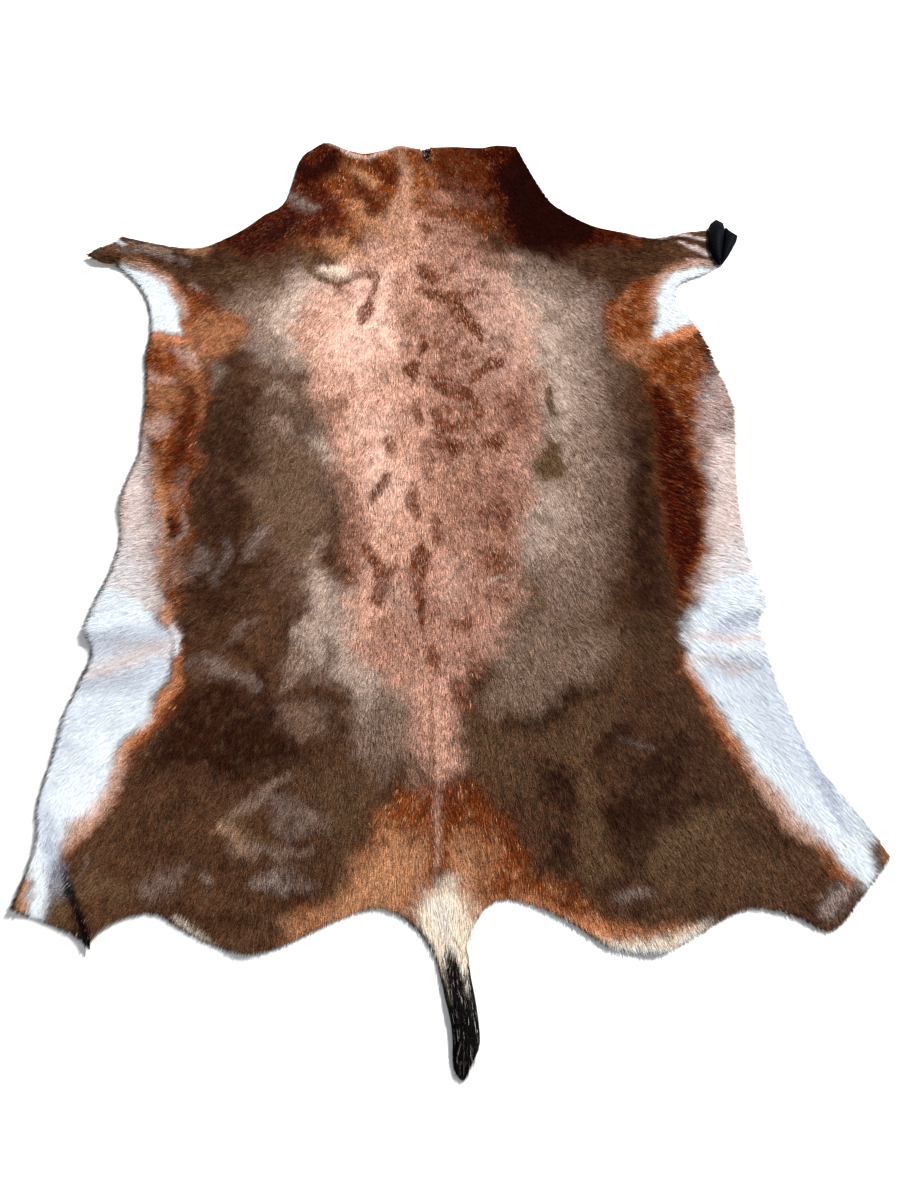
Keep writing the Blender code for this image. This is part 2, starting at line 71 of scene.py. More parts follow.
# Coat pattern
# The coat's ground colour is a deep brown. Each layer below is laid over it in this order, as far as
# its marks reach.
Layer = namedtuple("Layer", "name colour note")
GROUND = (84, 54, 36)
LAYERS = [
    Layer("soot", (42, 16, 4), "Darkest brown of the flanks and haunches"),
    Layer("grey", (174, 147, 131), "Grey beige of the sides"),
    Layer("beige", (216, 193, 179), "Lighter beige beside the saddle"),
    Layer("saddle", (222, 172, 150), "Pinkish tan of the back"),
    Layer("peach", (246, 206, 188), "Brightest tan of the shoulders"),
    Layer("olive", (106, 80, 56), "Greenish brown beside the saddle"),
    Layer("blotch", (114, 58, 29), "Red brown marks on the back"),
    Layer("rust", (129, 60, 18), "Rust of the shoulders, flanks and rump"),
    Layer("tan", (218, 162, 120), "Golden tan between the rust and the paler hair"),
    Layer("maroon", (62, 10, 2), "Dark red brown of the neck and flanks"),
    Layer("ember", (32, 8, 4), "Nearly black red of the neck"),
    Layer("fringe", (226, 209, 205), "Pinkish white of the belly's fringe"),
    Layer("orange", (214, 142, 98), "Orange rim beside the white"),
    # cream is also a painted sheen on the upper back
    Layer("cream", (244, 230, 210), "Cream of the tail's root and the rump's edge"),
    Layer("white", (229, 236, 242), "White of the belly and armpits"),
    Layer("mist", (178, 185, 203), "Bluish shade in the white"),
    # blush is pinkish skin through thin hair, and painted shade on the belly's low folds
    Layer("blush", (216, 186, 172), "Pinkish skin through the thin white hair"),
    Layer("lilac", (146, 127, 118), "Silver sheen where the nap turns"),
    # black is the tail's own colour, and painted shadow in the creases, the slits and along the left-facing
    # edges
    Layer("black", (14, 11, 11), "Black of the tail and the creases"),
    Layer("rim", (238, 206, 192), "Bare skin at a cut edge"),
]
LAYER_INDEX = {layer.name: i for i, layer in enumerate(LAYERS)}

# An area is filled inside its corners. soft is half the width of its fading edge, and ragged is how far
# that edge wanders. A strength under 0 rubs its layer out.
Area = namedtuple("Area", "layer strength soft ragged corners")
AREAS = [
    # flanks and haunches
    Area("soot", 0.7, 26, 14, [
        (-312, 220), (-280, 240), (-244, 170), (-244, 60), (-236, -20), (-256, -90), (-300, -130),
        (-322, -60), (-312, 40), (-318, 140),
    ]),
    Area("soot", 0.9, 18, 12, [
        (-330, -185), (-280, -178), (-235, -205), (-200, -235), (-168, -270), (-178, -292), (-222, -304),
        (-300, -290), (-365, -285), (-352, -240),
    ]),
    Area("soot", 0.9, 6, 10, [
        (116, -206), (150, -204), (172, -214), (198, -205), (198, -217), (168, -227), (142, -242),
        (120, -238),
    ]),
    Area("soot", 0.65, 8, 9, [(62, -240), (112, -240), (120, -256), (64, -264)]),
    Area("soot", 0.3, 24, 16, [
        (196, -250), (250, -215), (300, -225), (330, -290), (318, -360), (250, -372), (210, -350),
    ]),
    Area("soot", 0.8, 18, 10, [
        (244, 150), (284, 160), (288, 20), (286, -120), (250, -200), (226, -150), (244, -40),
    ]),
    Area("grey", 1.0, 40, 14, [
        (102, 408), (142, 293), (152, 213), (142, 133), (127, 53), (112, -7), (102, -97), (130, -132),
        (190, -110), (214, -40), (226, 40), (232, 130), (240, 210), (240, 300), (230, 350), (205, 372),
        (150, 392),
    ]),
    Area("grey", 0.75, 28, 14, [
        (-292, 350), (-240, 392), (-180, 410), (-130, 400), (-150, 330), (-170, 262), (-232, 262),
        (-262, 300),
    ]),
    Area("grey", 0.2, 26, 14, [
        (-245, 250), (-150, 250), (-142, 90), (-150, -60), (-190, -80), (-235, 60),
    ]),
    Area("grey", 0.5, 18, 14, [
        (-173, -93), (-110, -114), (-56, -197), (-35, -254), (-63, -297), (-112, -279), (-133, -223),
        (-122, -172), (-150, -136),
    ]),
    Area("beige", 0.5, 16, 12, [
        (-172, -60), (-112, -60), (-84, -130), (-70, -200), (-96, -236), (-120, -196), (-150, -180),
        (-176, -170), (-170, -120),
    ]),
    Area("grey", 0.22, 10, 11, [(-196, -216), (-152, -214), (-148, -244), (-176, -254), (-198, -238)]),
    Area("lilac", 0.38, 8, 9, [
        (-216, -332), (-192, -322), (-160, -334), (-150, -356), (-170, -374), (-204, -372),
    ]),
    Area("olive", 0.5, 16, 14, [
        (-198, -297), (-144, -283), (-90, -296), (-81, -350), (-123, -390), (-155, -378), (-145, -347),
        (-166, -315),
    ]),
    Area("olive", 0.6, 18, 12, [(-330, 420), (-250, 430), (-200, 420), (-250, 390), (-320, 400)]),
    Area("olive", 0.35, 22, 14, [(200, -400), (340, -350), (400, -440), (330, -480), (220, -470)]),
    Area("grey", -0.38, 34, 14, [(96, -40), (290, -40), (290, -180), (96, -180)]),
    Area("olive", 0.35, 16, 12, [
        (108, -128), (169, -77), (234, -116), (296, -130), (292, -165), (250, -181), (225, -214),
        (175, -212), (123, -233), (73, -248), (46, -230), (43, -184), (67, -156),
    ]),
    Area("grey", 0.6, 24, 15, [
        (50, -150), (110, -116), (178, -120), (206, -150), (176, -194), (110, -225), (60, -230),
    ]),
    Area("soot", 0.35, 20, 14, [(180, -270), (320, -250), (350, -330), (250, -400), (190, -420)]),
    Area("soot", 0.85, 6, 10, [
        (96, -312), (120, -299), (153, -312), (150, -345), (128, -354), (99, -342),
    ]),
    Area("soot", 0.85, 6, 10, [(104, -370), (134, -378), (138, -420), (124, -434), (107, -412)]),
    Area("soot", 0.75, 6, 11, [
        (186, -262), (226, -256), (224, -274), (200, -286), (188, -314), (173, -308), (178, -284),
    ]),
    Area("soot", 0.85, 7, 13, [
        (206, -300), (240, -268), (284, -262), (292, -300), (274, -340), (252, -374), (224, -400),
        (213, -430), (195, -424), (190, -390), (184, -350), (200, -328),
    ]),
    Area("soot", 0.75, 7, 11, [(250, -348), (306, -330), (320, -350), (280, -380), (254, -388)]),
    Area("soot", 0.75, 5, 8, [(325, -363), (347, -370), (345, -400), (327, -397)]),
    Area("olive", 0.6, 8, 10, [
        (112, -262), (150, -246), (186, -238), (180, -262), (166, -296), (150, -294), (120, -290),
    ]),
    Area("olive", 0.6, 8, 10, [
        (160, -300), (178, -318), (182, -350), (186, -396), (186, -440), (150, -440), (146, -380),
        (156, -340),
    ]),
    Area("olive", 0.55, 8, 10, [
        (224, -414), (252, -396), (300, -372), (318, -372), (320, -410), (362, -420), (330, -452),
        (230, -452),
    ]),
    Area("grey", -0.4, 26, 12, [(210, 300), (300, 300), (300, -60), (206, -60), (196, 60), (204, 200)]),
    Area("beige", 0.75, 34, 12, [
        (100, 392), (150, 372), (196, 330), (204, 250), (190, 170), (160, 120), (140, 200), (130, 290),
    ]),
    Area("beige", 0.55, 20, 10, [(112, 96), (148, 66), (178, 40), (160, -20), (118, -40), (112, 20)]),
    Area("beige", 0.68, 24, 12, [
        (-220, 362), (-184, 398), (-144, 408), (-150, 340), (-168, 262), (-206, 280), (-226, 330),
    ]),
    # back
    Area("saddle", 1.0, 20, 12, [
        (-60, 505), (-20, 520), (40, 500), (70, 450), (95, 420), (128, 343), (142, 273), (144, 213),
        (132, 133), (120, 73), (109, -7), (96, -87), (62, -147), (20, -187), (4, -287), (-8, -340),
        (-24, -340), (-38, -267), (-52, -207), (-74, -177), (-104, -137), (-118, -97), (-108, -47),
        (-114, 13), (-134, 73), (-140, 133), (-144, 193), (-160, 243), (-184, 283), (-194, 323),
        (-172, 363), (-124, 393), (-110, 440), (-80, 460),
    ]),
    Area("peach", 0.8, 34, 14, [
        (-150, 372), (-112, 424), (-34, 428), (-24, 330), (-50, 250), (-110, 214), (-160, 262),
    ]),
    Area("peach", -0.85, 14, 8, [(-54, 440), (-6, 440), (0, 240), (-50, 240)]),
    Area("blotch", 0.35, 16, 12, [(-104, 504), (-50, 504), (-50, 446), (-106, 440)]),
    Area("blotch", 0.35, 18, 14, [(0, 512), (70, 502), (90, 446), (60, 424), (22, 440), (0, 462)]),
    Area("peach", 0.7, 30, 14, [(52, 420), (104, 392), (130, 330), (126, 240), (92, 212), (56, 300)]),
    Area("peach", 0.7, 26, 14, [(-110, 190), (-56, 190), (-50, 40), (-84, 20), (-104, 90)]),
    Area("blotch", 0.38, 20, 14, [
        (-60, -70), (60, -60), (76, -110), (20, -180), (-60, -180), (-96, -130),
    ]),
    Area("blotch", 0.38, 22, 14, [
        (0, 480), (50, 470), (84, 420), (110, 340), (118, 230), (112, 90), (104, -40), (84, -110),
        (10, -150), (-6, 0), (-8, 240),
    ]),
    Area("blotch", 0.45, 8, 10, [(0, 352), (30, 354), (50, 330), (52, 300), (0, 300)]),
    Area("blotch", 0.75, 6, 8, [(1, 305), (42, 300), (37, 246), (3, 243)]),
    Area("blotch", 1.0, 3, 3, [(-28, 264), (-43, 248), (-30, 222), (-18, 240), (-16, 260)]),
    Area("blotch", 0.35, 12, 12, [(-50, 350), (0, 350), (0, 295), (-44, 295)]),
    Area("blotch", 0.35, 16, 12, [(112, 250), (140, 240), (150, 160), (120, 140), (98, 200)]),
    Area("blotch", 0.62, 8, 9, [
        (22, 82), (57, 89), (99, 93), (113, 78), (99, 16), (107, -45), (92, -61), (76, -95), (61, -107),
        (53, -76), (43, -45), (45, -15), (38, 5), (15, 39),
    ]),
    Area("blotch", 0.85, 6, 9, [(45, 43), (72, 52), (99, 38), (92, 8), (60, 1)]),
    Area("blotch", 0.95, 6, 9, [(46, -14), (76, -11), (99, -30), (90, -58), (72, -70), (52, -50)]),
    Area("olive", 1.0, 5, 6, [
        (150, 138), (172, 128), (166, 108), (162, 78), (142, 70), (128, 90), (136, 116),
    ]),
    Area("olive", 0.5, 18, 12, [
        (12, -207), (60, -250), (110, -262), (100, -330), (60, -330), (20, -300),
    ]),
    Area("olive", 0.5, 22, 14, [(-236, 130), (-160, 140), (-150, 0), (-168, -40), (-232, 0)]),
    # rump
    Area("rust", 0.95, 14, 10, [
        (-196, -500), (-176, -462), (-134, -440), (-104, -396), (-82, -352), (-54, -322), (-24, -330),
        (-14, -316), (34, -316), (58, -352), (80, -400), (100, -432), (140, -446), (168, -474),
        (200, -500), (120, -520), (0, -490), (-90, -490), (-200, -540),
    ]),
    Area("tan", 0.65, 18, 10, [
        (-112, -404), (-70, -368), (-40, -372), (-32, -430), (-56, -462), (-140, -470), (-180, -490),
        (-190, -470), (-140, -446),
    ]),
    Area("tan", 0.65, 14, 9, [
        (-8, -380), (24, -372), (38, -410), (34, -444), (90, -452), (160, -480), (180, -502), (120, -500),
        (20, -470), (0, -430),
    ]),
    # neck
    Area("rust", 0.9, 18, 12, [
        (-170, 640), (140, 640), (110, 480), (60, 490), (0, 500), (-60, 520), (-110, 450), (-170, 455),
        (-240, 470),
    ]),
    Area("maroon", 0.95, 16, 12, [
        (-230, 640), (-100, 640), (-120, 600), (-150, 570), (-120, 530), (-120, 480), (-170, 470),
        (-230, 452), (-300, 444), (-345, 470),
    ]),
    Area("maroon", 1.0, 18, 12, [
        (60, 640), (145, 640), (320, 470), (290, 440), (230, 440), (180, 430), (110, 440), (100, 500),
        (80, 540), (90, 590),
    ]),
    Area("maroon", 0.68, 20, 12, [
        (16, 640), (110, 640), (120, 560), (100, 500), (60, 506), (30, 550), (14, 590),
    ]),
    Area("maroon", 0.35, 14, 10, [
        (-30, -318), (34, -312), (62, -350), (84, -400), (60, -410), (20, -368), (-30, -350),
    ]),
    Area("ember", 0.9, 18, 10, [
        (105, 600), (140, 625), (200, 520), (250, 480), (240, 456), (190, 435), (150, 424), (125, 450),
        (112, 490), (105, 540),
    ]),
    # flanks
    Area("rust", 1.0, 12, 10, [
        (-352, 388), (-322, 384), (-300, 352), (-268, 340), (-264, 300), (-300, 276), (-313, 213),
        (-318, 133), (-322, 53), (-328, -7), (-333, -90), (-356, -80), (-372, 60), (-400, 200),
        (-400, 306), (-345, 306),
    ]),
    Area("tan", 0.35, 14, 10, [
        (-322, 352), (-276, 338), (-268, 296), (-300, 276), (-318, 230), (-352, 256), (-372, 246),
        (-398, 240), (-398, 170), (-372, 160), (-352, 190), (-330, 262), (-330, 310),
    ]),
    Area("rust", 1.0, 12, 8, [
        (240, 330), (262, 350), (300, 372), (330, 370), (306, 330), (306, 280), (400, 310), (400, 230),
        (365, 200), (352, 140), (346, 60), (344, -20), (330, -84), (302, -112), (296, -60), (294, 60),
        (292, 180), (280, 235), (242, 280),
    ]),
    Area("rust", 0.75, 16, 10, [(338, 260), (372, 290), (420, 240), (420, 110), (352, 90)]),
    Area("tan", 0.45, 12, 8, [(250, 284), (296, 280), (300, 256), (276, 240), (256, 256)]),
    # belly
    Area("fringe", 1.0, 15, 8, [
        (-430, 190), (-396, 180), (-382, 120), (-374, 60), (-366, 0), (-356, -47), (-346, -90),
        (-420, -110), (-450, 0),
    ]),
    Area("fringe", 0.55, 18, 10, [(380, 240), (362, 200), (352, 133), (352, 90), (420, 90), (420, 240)]),
    Area("fringe", 1.0, 15, 8, [
        (366, 133), (354, 73), (348, 13), (340, -47), (322, -95), (420, -110), (420, 60), (400, 140),
    ]),
    Area("white", 1.0, 8, 6, [
        (-520, -30), (-405, -52), (-376, -76), (-356, -100), (-340, -130), (-336, -160), (-343, -185),
        (-360, -212), (-382, -245), (-398, -280), (-404, -310), (-418, -335), (-442, -352), (-452, -378),
        (-462, -402), (-466, -425), (-466, -470), (-486, -470), (-487, -410), (-530, -360),
    ]),
    Area("white", 1.0, 8, 6, [
        (520, -50), (400, -60), (350, -74), (326, -98), (305, -122), (299, -150), (304, -180),
        (314, -203), (328, -230), (342, -257), (354, -285), (364, -315), (378, -345), (400, -375),
        (428, -402), (452, -425), (472, -452), (488, -436), (486, -400), (500, -380), (530, -300),
    ]),
    Area("white", 0.5, 24, 8, [
        (-520, 30), (-405, 10), (-372, -30), (-356, -76), (-400, -90), (-520, -60),
    ]),
    Area("white", 0.5, 24, 8, [(520, 0), (400, -10), (352, -40), (330, -80), (400, -100), (520, -80)]),
    Area("mist", 0.35, 24, 8, [
        (326, -180), (400, -180), (440, -300), (480, -390), (440, -380), (370, -280),
    ]),
    Area("mist", 0.4, 16, 8, [(-460, -112), (-340, -104), (-338, -170), (-352, -196), (-470, -190)]),
    # armpits
    Area("white", 1.0, 6, 4, [
        (-440, 424), (-432, 432), (-400, 422), (-380, 408), (-368, 392), (-358, 372), (-354, 350),
        (-351, 330), (-345, 311), (-392, 322), (-430, 330), (-460, 400),
    ]),
    Area("white", 1.0, 5, 4, [
        (420, 400), (395, 392), (370, 395), (345, 388), (332, 379), (324, 368), (318, 355), (316, 340),
        (313, 320), (311, 305), (307, 292), (306, 283), (320, 287), (335, 294), (350, 303), (372, 313),
        (420, 330),
    ]),
    # tail
    Area("white", 0.35, 12, 6, [(-30, -448), (-4, -446), (4, -480), (-4, -500), (-24, -480)]),
    Area("cream", 1.0, 14, 9, [
        (-54, -466), (-36, -444), (-14, -426), (6, -428), (20, -450), (28, -474), (20, -520), (18, -560),
        (12, -600), (-20, -600), (-34, -560), (-44, -500),
    ]),
    Area("black", 1.0, 3, 3, [
        (-6, -496), (0, -510), (7, -527), (10, -541), (16, -552), (27, -560), (30, -646), (-26, -646),
        (-20, -575), (-12, -556), (-12, -541), (-13, -527), (-12, -512),
    ]),
]

# A stroke runs along its path, whose rows are x, y and half its width there.
Stroke = namedtuple("Stroke", "layer strength soft ragged path")
STROKES = [
    # neck, left of the spine
    Stroke("saddle", 0.75, 9, 6, [(-36, 612, 9), (-32, 560, 12), (-42, 500, 16), (-45, 450, 24)]),
    Stroke("rust", -0.7, 9, 6, [(-36, 612, 9), (-32, 560, 12), (-42, 500, 16), (-45, 450, 24)]),
    Stroke("tan", 0.28, 10, 8, [(-36, 616, 9), (-32, 560, 12), (-42, 500, 16), (-45, 450, 18)]),
    Stroke("tan", 0.7, 7, 6, [(-108, 592, 5), (-96, 574, 8), (-84, 558, 5)]),
    Stroke("tan", 0.55, 14, 8, [(-100, 520, 10), (-82, 494, 16), (-64, 474, 10)]),
    Stroke("tan", 0.6, 16, 9, [(-150, 474, 10), (-126, 460, 18), (-104, 446, 12)]),
    Stroke("maroon", 0.8, 6, 5, [(-86, 610, 5), (-76, 590, 9), (-55, 566, 9)]),
    Stroke("maroon", 0.8, 7, 5, [(-105, 575, 7), (-95, 545, 11), (-76, 530, 12), (-82, 510, 8)]),
    Stroke("lilac", 0.6, 8, 6, [(-202, 556, 6), (-186, 534, 10), (-166, 524, 7)]),
    Stroke("ember", 0.7, 12, 8, [(-185, 600, 10), (-170, 580, 16), (-140, 600, 16)]),
    Stroke("ember", 0.6, 12, 8, [(-186, 520, 8), (-200, 490, 18), (-230, 478, 14), (-280, 462, 6)]),
    Stroke("rust", 0.7, 7, 5, [(-6, 604, 4), (-7, 540, 5), (-6, 470, 6)]),
    # painted shadow: the slit in the neck, dark under the hair that covers it
    Stroke("ember", 1.0, 2, 1, [(-2, 628, 4), (0, 614, 3.5), (2.5, 597, 1)]),
    Stroke("rim", 0.55, 3, 2, [
        (-150, 637, 3), (-128, 628, 4), (-106, 614, 4), (-86, 608, 3), (-66, 618, 3), (-44, 626, 3),
        (-12, 626, 2),
    ]),
    Stroke("rim", 0.5, 3, 2, [(12, 628, 2.5), (60, 629, 2.5), (100, 628, 2.5), (130, 625, 2)]),
    # neck, right of the spine
    Stroke("rust", -0.5, 9, 6, [(10, 535, 14), (50, 528, 16), (85, 522, 14)]),
    Stroke("saddle", 0.7, 9, 6, [(10, 535, 14), (50, 528, 16), (85, 522, 14)]),
    Stroke("saddle", 0.35, 10, 9, [(-2, 590, 7), (31, 560, 12), (76, 540, 10), (98, 512, 6)]),
    Stroke("rust", -0.3, 10, 9, [(-2, 590, 7), (31, 560, 12), (76, 540, 10), (98, 512, 6)]),
    Stroke("rust", 0.8, 4, 5, [(20, 520, 3), (44, 514, 4), (70, 520, 3)]),
    Stroke("ember", 1.0, 8, 5, [(142, 572, 9), (126, 540, 11), (118, 510, 7)]),
    Stroke("ember", 0.8, 10, 6, [(150, 456, 8), (164, 436, 10), (172, 420, 5)]),
    Stroke("blotch", 0.8, 5, 4, [(60, 505, 6), (75, 496, 9), (85, 485, 5)]),
    Stroke("blotch", 0.8, 5, 4, [(0, 505, 4), (14, 502, 7), (30, 496, 4)]),
    Stroke("blotch", 0.75, 6, 4, [(-15, 482, 5), (8, 477, 9), (30, 470, 5)]),
    Stroke("blotch", 0.85, 4, 4, [(59, 480, 5), (44, 466, 8), (33, 450, 5)]),
    Stroke("blotch", 0.9, 3, 3, [(80, 465, 6), (80, 461, 6)]),
    Stroke("blotch", 0.9, 3, 3, [(56, 434, 4), (56, 430, 4)]),
    Stroke("olive", 0.7, 8, 6, [(72, 426, 6), (90, 412, 12), (108, 404, 6)]),
    # upper back
    Stroke("blotch", 0.85, 6, 5, [(-102, 404, 6.8), (-89, 409, 11.3), (-77, 402, 7.9)]),
    Stroke("blotch", 0.95, 2, 2, [(-75, 398, 4.4), (-79, 380, 4.4), (-86, 362, 4.4)]),
    Stroke("blotch", 1, 3, 3, [(-88, 356, 7.9), (-92, 344, 12.5), (-95, 333, 9)]),
    Stroke("olive", 0.95, 4, 4, [
        (-170, 440, 6), (-168, 415, 6), (-156, 397, 6), (-132, 388, 5), (-114, 398, 4),
    ]),
    Stroke("blotch", 0.95, 4, 4, [(-9, 409, 12.5), (5, 393, 10.2)]),
    Stroke("blotch", 0.9, 3, 3, [(32, 412, 5.6), (32, 406, 5.6)]),
    Stroke("blotch", 0.95, 4, 4, [(-13, 374, 11.3), (12, 359, 10.2)]),
    Stroke("blotch", 0.95, 4, 4, [(28, 363, 10.2), (44, 365, 10.2), (60, 372, 7.9)]),
    Stroke("blotch", 0.7, 7, 5, [(58, 342, 10.2), (70, 340, 10.2)]),
    Stroke("blotch", 1, 4, 4, [(30, 352, 12.5), (44, 331, 14.8), (59, 313, 12.5), (67, 297, 9)]),
    Stroke("blotch", 1, 3, 3, [(-13, 300, 5.6), (-14, 288, 9), (-16, 275, 6.8)]),
    Stroke("blotch", 0.5, 7, 5, [(-38, 284, 11.3), (-38, 278, 11.3)]),
    Stroke("blotch", 0.95, 4, 4, [(46, 270, 9), (53, 267, 6.8)]),
    Stroke("blotch", 1, 4, 3, [(80, 262, 7.9), (88, 254, 10.2)]),
    Stroke("blotch", 0.95, 3, 3, [(85, 258, 9), (70, 245, 6.8), (60, 235, 9), (50, 226, 5.6)]),
    Stroke("blotch", 1, 4, 4, [(3, 231, 10.2), (19, 216, 14.8), (41, 206, 12.5), (59, 177, 10.2)]),
    Stroke("blotch", 0.7, 4, 3, [(64, 206, 7.9), (66, 202, 7.9)]),
    Stroke("blotch", 0.9, 3, 3, [(16, 187, 6.8), (17, 184, 6.8)]),
    Stroke("blotch", 0.9, 4, 4, [(1, 181, 9), (12, 161, 9)]),
    Stroke("blotch", 0.95, 3, 3, [(-23, 194, 5.6), (-23, 180, 7.9), (-20, 164, 5.6)]),
    Stroke("blotch", 0.85, 10, 10, [(104, 192, 14.8), (110, 162, 17.1)]),
    Stroke("blotch", 0.55, 7, 5, [(-131, 193, 10.2), (-131, 187, 10.2)]),
    Stroke("blotch", 0.4, 9, 6, [(-125, 380, 12.5), (-125, 374, 12.5)]),
    Stroke("blotch", 0.55, 8, 10, [(122, 252, 7), (128, 215, 10), (118, 170, 11), (112, 140, 8)]),
    # painted sheen: a bright patch at the left of the upper back
    Stroke("cream", 0.9, 8, 5, [(-146, 416, 7), (-122, 414, 9)]),
    Stroke("beige", 0.7, 14, 10, [(-158, 139, 10), (-142, 110, 14), (-134, 100, 8)]),
    Stroke("saddle", -0.5, 14, 10, [(-158, 139, 10), (-142, 110, 14), (-134, 100, 8)]),
    Stroke("olive", 0.95, 4, 5, [(155, 212, 7), (162, 172, 7)]),
    # lower back
    Stroke("blotch", 1, 4, 4, [(3, 168, 9), (22, 158, 10.2), (40, 158, 7.9)]),
    Stroke("blotch", 1, 4, 4, [(7, 147, 7.9), (24, 120, 11.3)]),
    Stroke("blotch", 0.8, 3, 4, [(-4, 152, 4.4), (6, 128, 6.8), (14, 104, 4.4)]),
    Stroke("blotch", 0.85, 3, 4, [(28, 190, 4.4), (44, 170, 6.8), (56, 150, 4.4)]),
    Stroke("blotch", 0.8, 4, 5, [(58, 390, 6.8), (72, 380, 7.9)]),
    Stroke("blotch", 0.7, 5, 7, [(92, 300, 5.6), (100, 286, 9), (96, 270, 5.6)]),
    Stroke("blotch", 0.65, 5, 7, [(-30, 330, 9), (-26, 312, 10.2)]),
    Stroke("blotch", 0.9, 4, 4, [(26, 137, 7.9), (45, 118, 7.9)]),
    Stroke("blotch", 1, 4, 4, [(53, 124, 5.6), (82, 135, 13.6)]),
    Stroke("blotch", 0.8, 2, 2, [(53, 110, 4.4), (51, 75, 4.4)]),
    Stroke("blotch", 0.9, 3, 3, [(-64, 141, 7.9), (-58, 126, 5.6)]),
    Stroke("blotch", 0.7, 4, 4, [(-12, 135, 9), (-10, 112, 10.2)]),
    Stroke("blotch", 0.65, 5, 4, [(-13, 92, 7.9), (-13, 78, 7.9)]),
    Stroke("blotch", 0.9, 3, 3, [(-68, 91, 5.6), (-72, 78, 9), (-80, 68, 9), (-88, 58, 4.4)]),
    Stroke("blotch", 0.9, 3, 3, [(-35, 74, 5.6), (-37, 58, 9), (-35, 41, 9), (-31, 28, 5.6)]),
    Stroke("blotch", 0.9, 3, 3, [(-5, 24, 5.6), (-5, 8, 9), (-3, -11, 4.4)]),
    Stroke("blotch", 0.7, 6, 5, [(62, -68, 10.2), (80, -84, 12.5), (72, -96, 7.9)]),
    Stroke("blotch", 1, 4, 4, [
        (-24, -13, 6.8), (-26, -30, 14.8), (-32, -49, 12.5), (-32, -68, 10.2), (-28, -95, 9),
        (-33, -118, 4.4),
    ]),
    Stroke("blotch", 1, 4, 4, [
        (-99, -11, 5.6), (-87, -30, 7.9), (-78, -45, 10.2), (-76, -61, 11.3), (-82, -80, 10.2),
    ]),
    Stroke("blotch", 0.9, 4, 3, [(-60, -38, 5.6), (-70, -48, 6.8), (-76, -58, 7.9)]),
    Stroke("blotch", 0.65, 9, 10, [
        (-135, 93, 7), (-120, 66, 11), (-108, 16, 11), (-112, -15, 10), (-120, -61, 8),
    ]),
    Stroke("blotch", 0.9, 5, 5, [(12, -116, 10.2), (28, -117, 10.2)]),
    Stroke("blotch", 0.95, 4, 4, [(-19, -148, 6.8), (-17, -166, 9)]),
    Stroke("blotch", 0.6, 7, 6, [(34, -160, 11.3), (34, -184, 12.5)]),
    Stroke("blotch", 0.8, 6, 5, [(10, -199, 9), (22, -220, 11.3)]),
    Stroke("cream", 0.8, 1, 1, [(47, -73, 0.8), (61, -63, 1), (74, -58, 1), (83, -64, 0.6)]),
    Stroke("lilac", 0.4, 12, 9, [(-80, -58, 8), (-62, -76, 14), (-50, -96, 8)]),
    Stroke("peach", 0.6, 14, 9, [(12, -36, 10), (20, -60, 14), (10, -86, 8)]),
    Stroke("olive", 0.6, 7, 6, [(126, 22, 6), (144, 16, 9)]),
    Stroke("olive", 0.65, 5, 4, [(111, -76, 6), (118, -98, 9), (116, -115, 5)]),
    Stroke("olive", 0.6, 4, 3, [(62, -145, 4), (74, -145, 4)]),
    Stroke("olive", 0.7, 4, 3, [(104, -174, 4), (104, -182, 4)]),
    Stroke("olive", 0.7, 5, 4, [(66, -188, 6), (64, -202, 6)]),
    # left side
    Stroke("soot", 0.7, 6, 6, [(-144, -142, 7), (-133, -160, 9), (-144, -177, 6)]),
    Stroke("soot", 0.8, 10, 9, [(-223, -162, 10), (-228, -196, 14), (-200, -220, 8), (-221, -258, 14)]),
    Stroke("soot", 0.8, 6, 5, [(-268, -134, 5), (-250, -142, 7), (-240, -150, 4)]),
    Stroke("soot", 0.6, 8, 6, [(-148, -210, 7), (-138, -240, 9), (-142, -262, 5)]),
    Stroke("soot", 0.5, 8, 6, [(-218, 208, 8), (-214, 188, 8)]),
    Stroke("grey", 0.8, 10, 8, [(-228, 222, 6), (-206, 226, 9), (-190, 216, 6)]),
    Stroke("grey", 0.7, 12, 8, [(-216, 180, 7), (-204, 160, 12), (-192, 150, 7)]),
    Stroke("lilac", 0.7, 14, 8, [(-256, 300, 8), (-234, 284, 16), (-212, 270, 8)]),
    Stroke("grey", 0.5, 9, 7, [(-296, 262, 5), (-286, 246, 8), (-300, 228, 5)]),
    Stroke("lilac", 0.7, 10, 8, [(-250, -14, 5), (-236, 2, 9), (-228, 16, 5)]),
    Stroke("lilac", 0.45, 10, 9, [(-320, -44, 8), (-302, -26, 11), (-310, -2, 6)]),
    Stroke("lilac", 0.4, 5, 5, [(-286, -56, 4), (-276, -20, 5), (-270, 8, 3)]),
    Stroke("lilac", 0.45, 9, 8, [(-260, -124, 4), (-244, -110, 7), (-232, -100, 4)]),
    Stroke("lilac", 0.65, 9, 10, [(-302, -158, 6), (-284, -166, 9), (-262, -178, 8), (-236, -188, 6)]),
    Stroke("lilac", 0.25, 8, 8, [(-282, -148, 3), (-258, -128, 5), (-236, -104, 3)]),
    Stroke("grey", 0.8, 10, 8, [
        (-192, -164, 6), (-168, -118, 10), (-150, -70, 8), (-160, -30, 10), (-150, 0, 6),
    ]),
    Stroke("grey", 0.6, 12, 9, [(-160, -112, 11), (-176, -150, 10), (-190, -186, 6)]),
    Stroke("beige", -0.6, 7, 7, [(-146, -138, 8), (-136, -152, 10), (-146, -170, 6)]),
    Stroke("grey", -0.6, 7, 7, [(-146, -138, 8), (-136, -152, 10), (-146, -170, 6)]),
    # flanks
    Stroke("maroon", 0.75, 9, 7, [
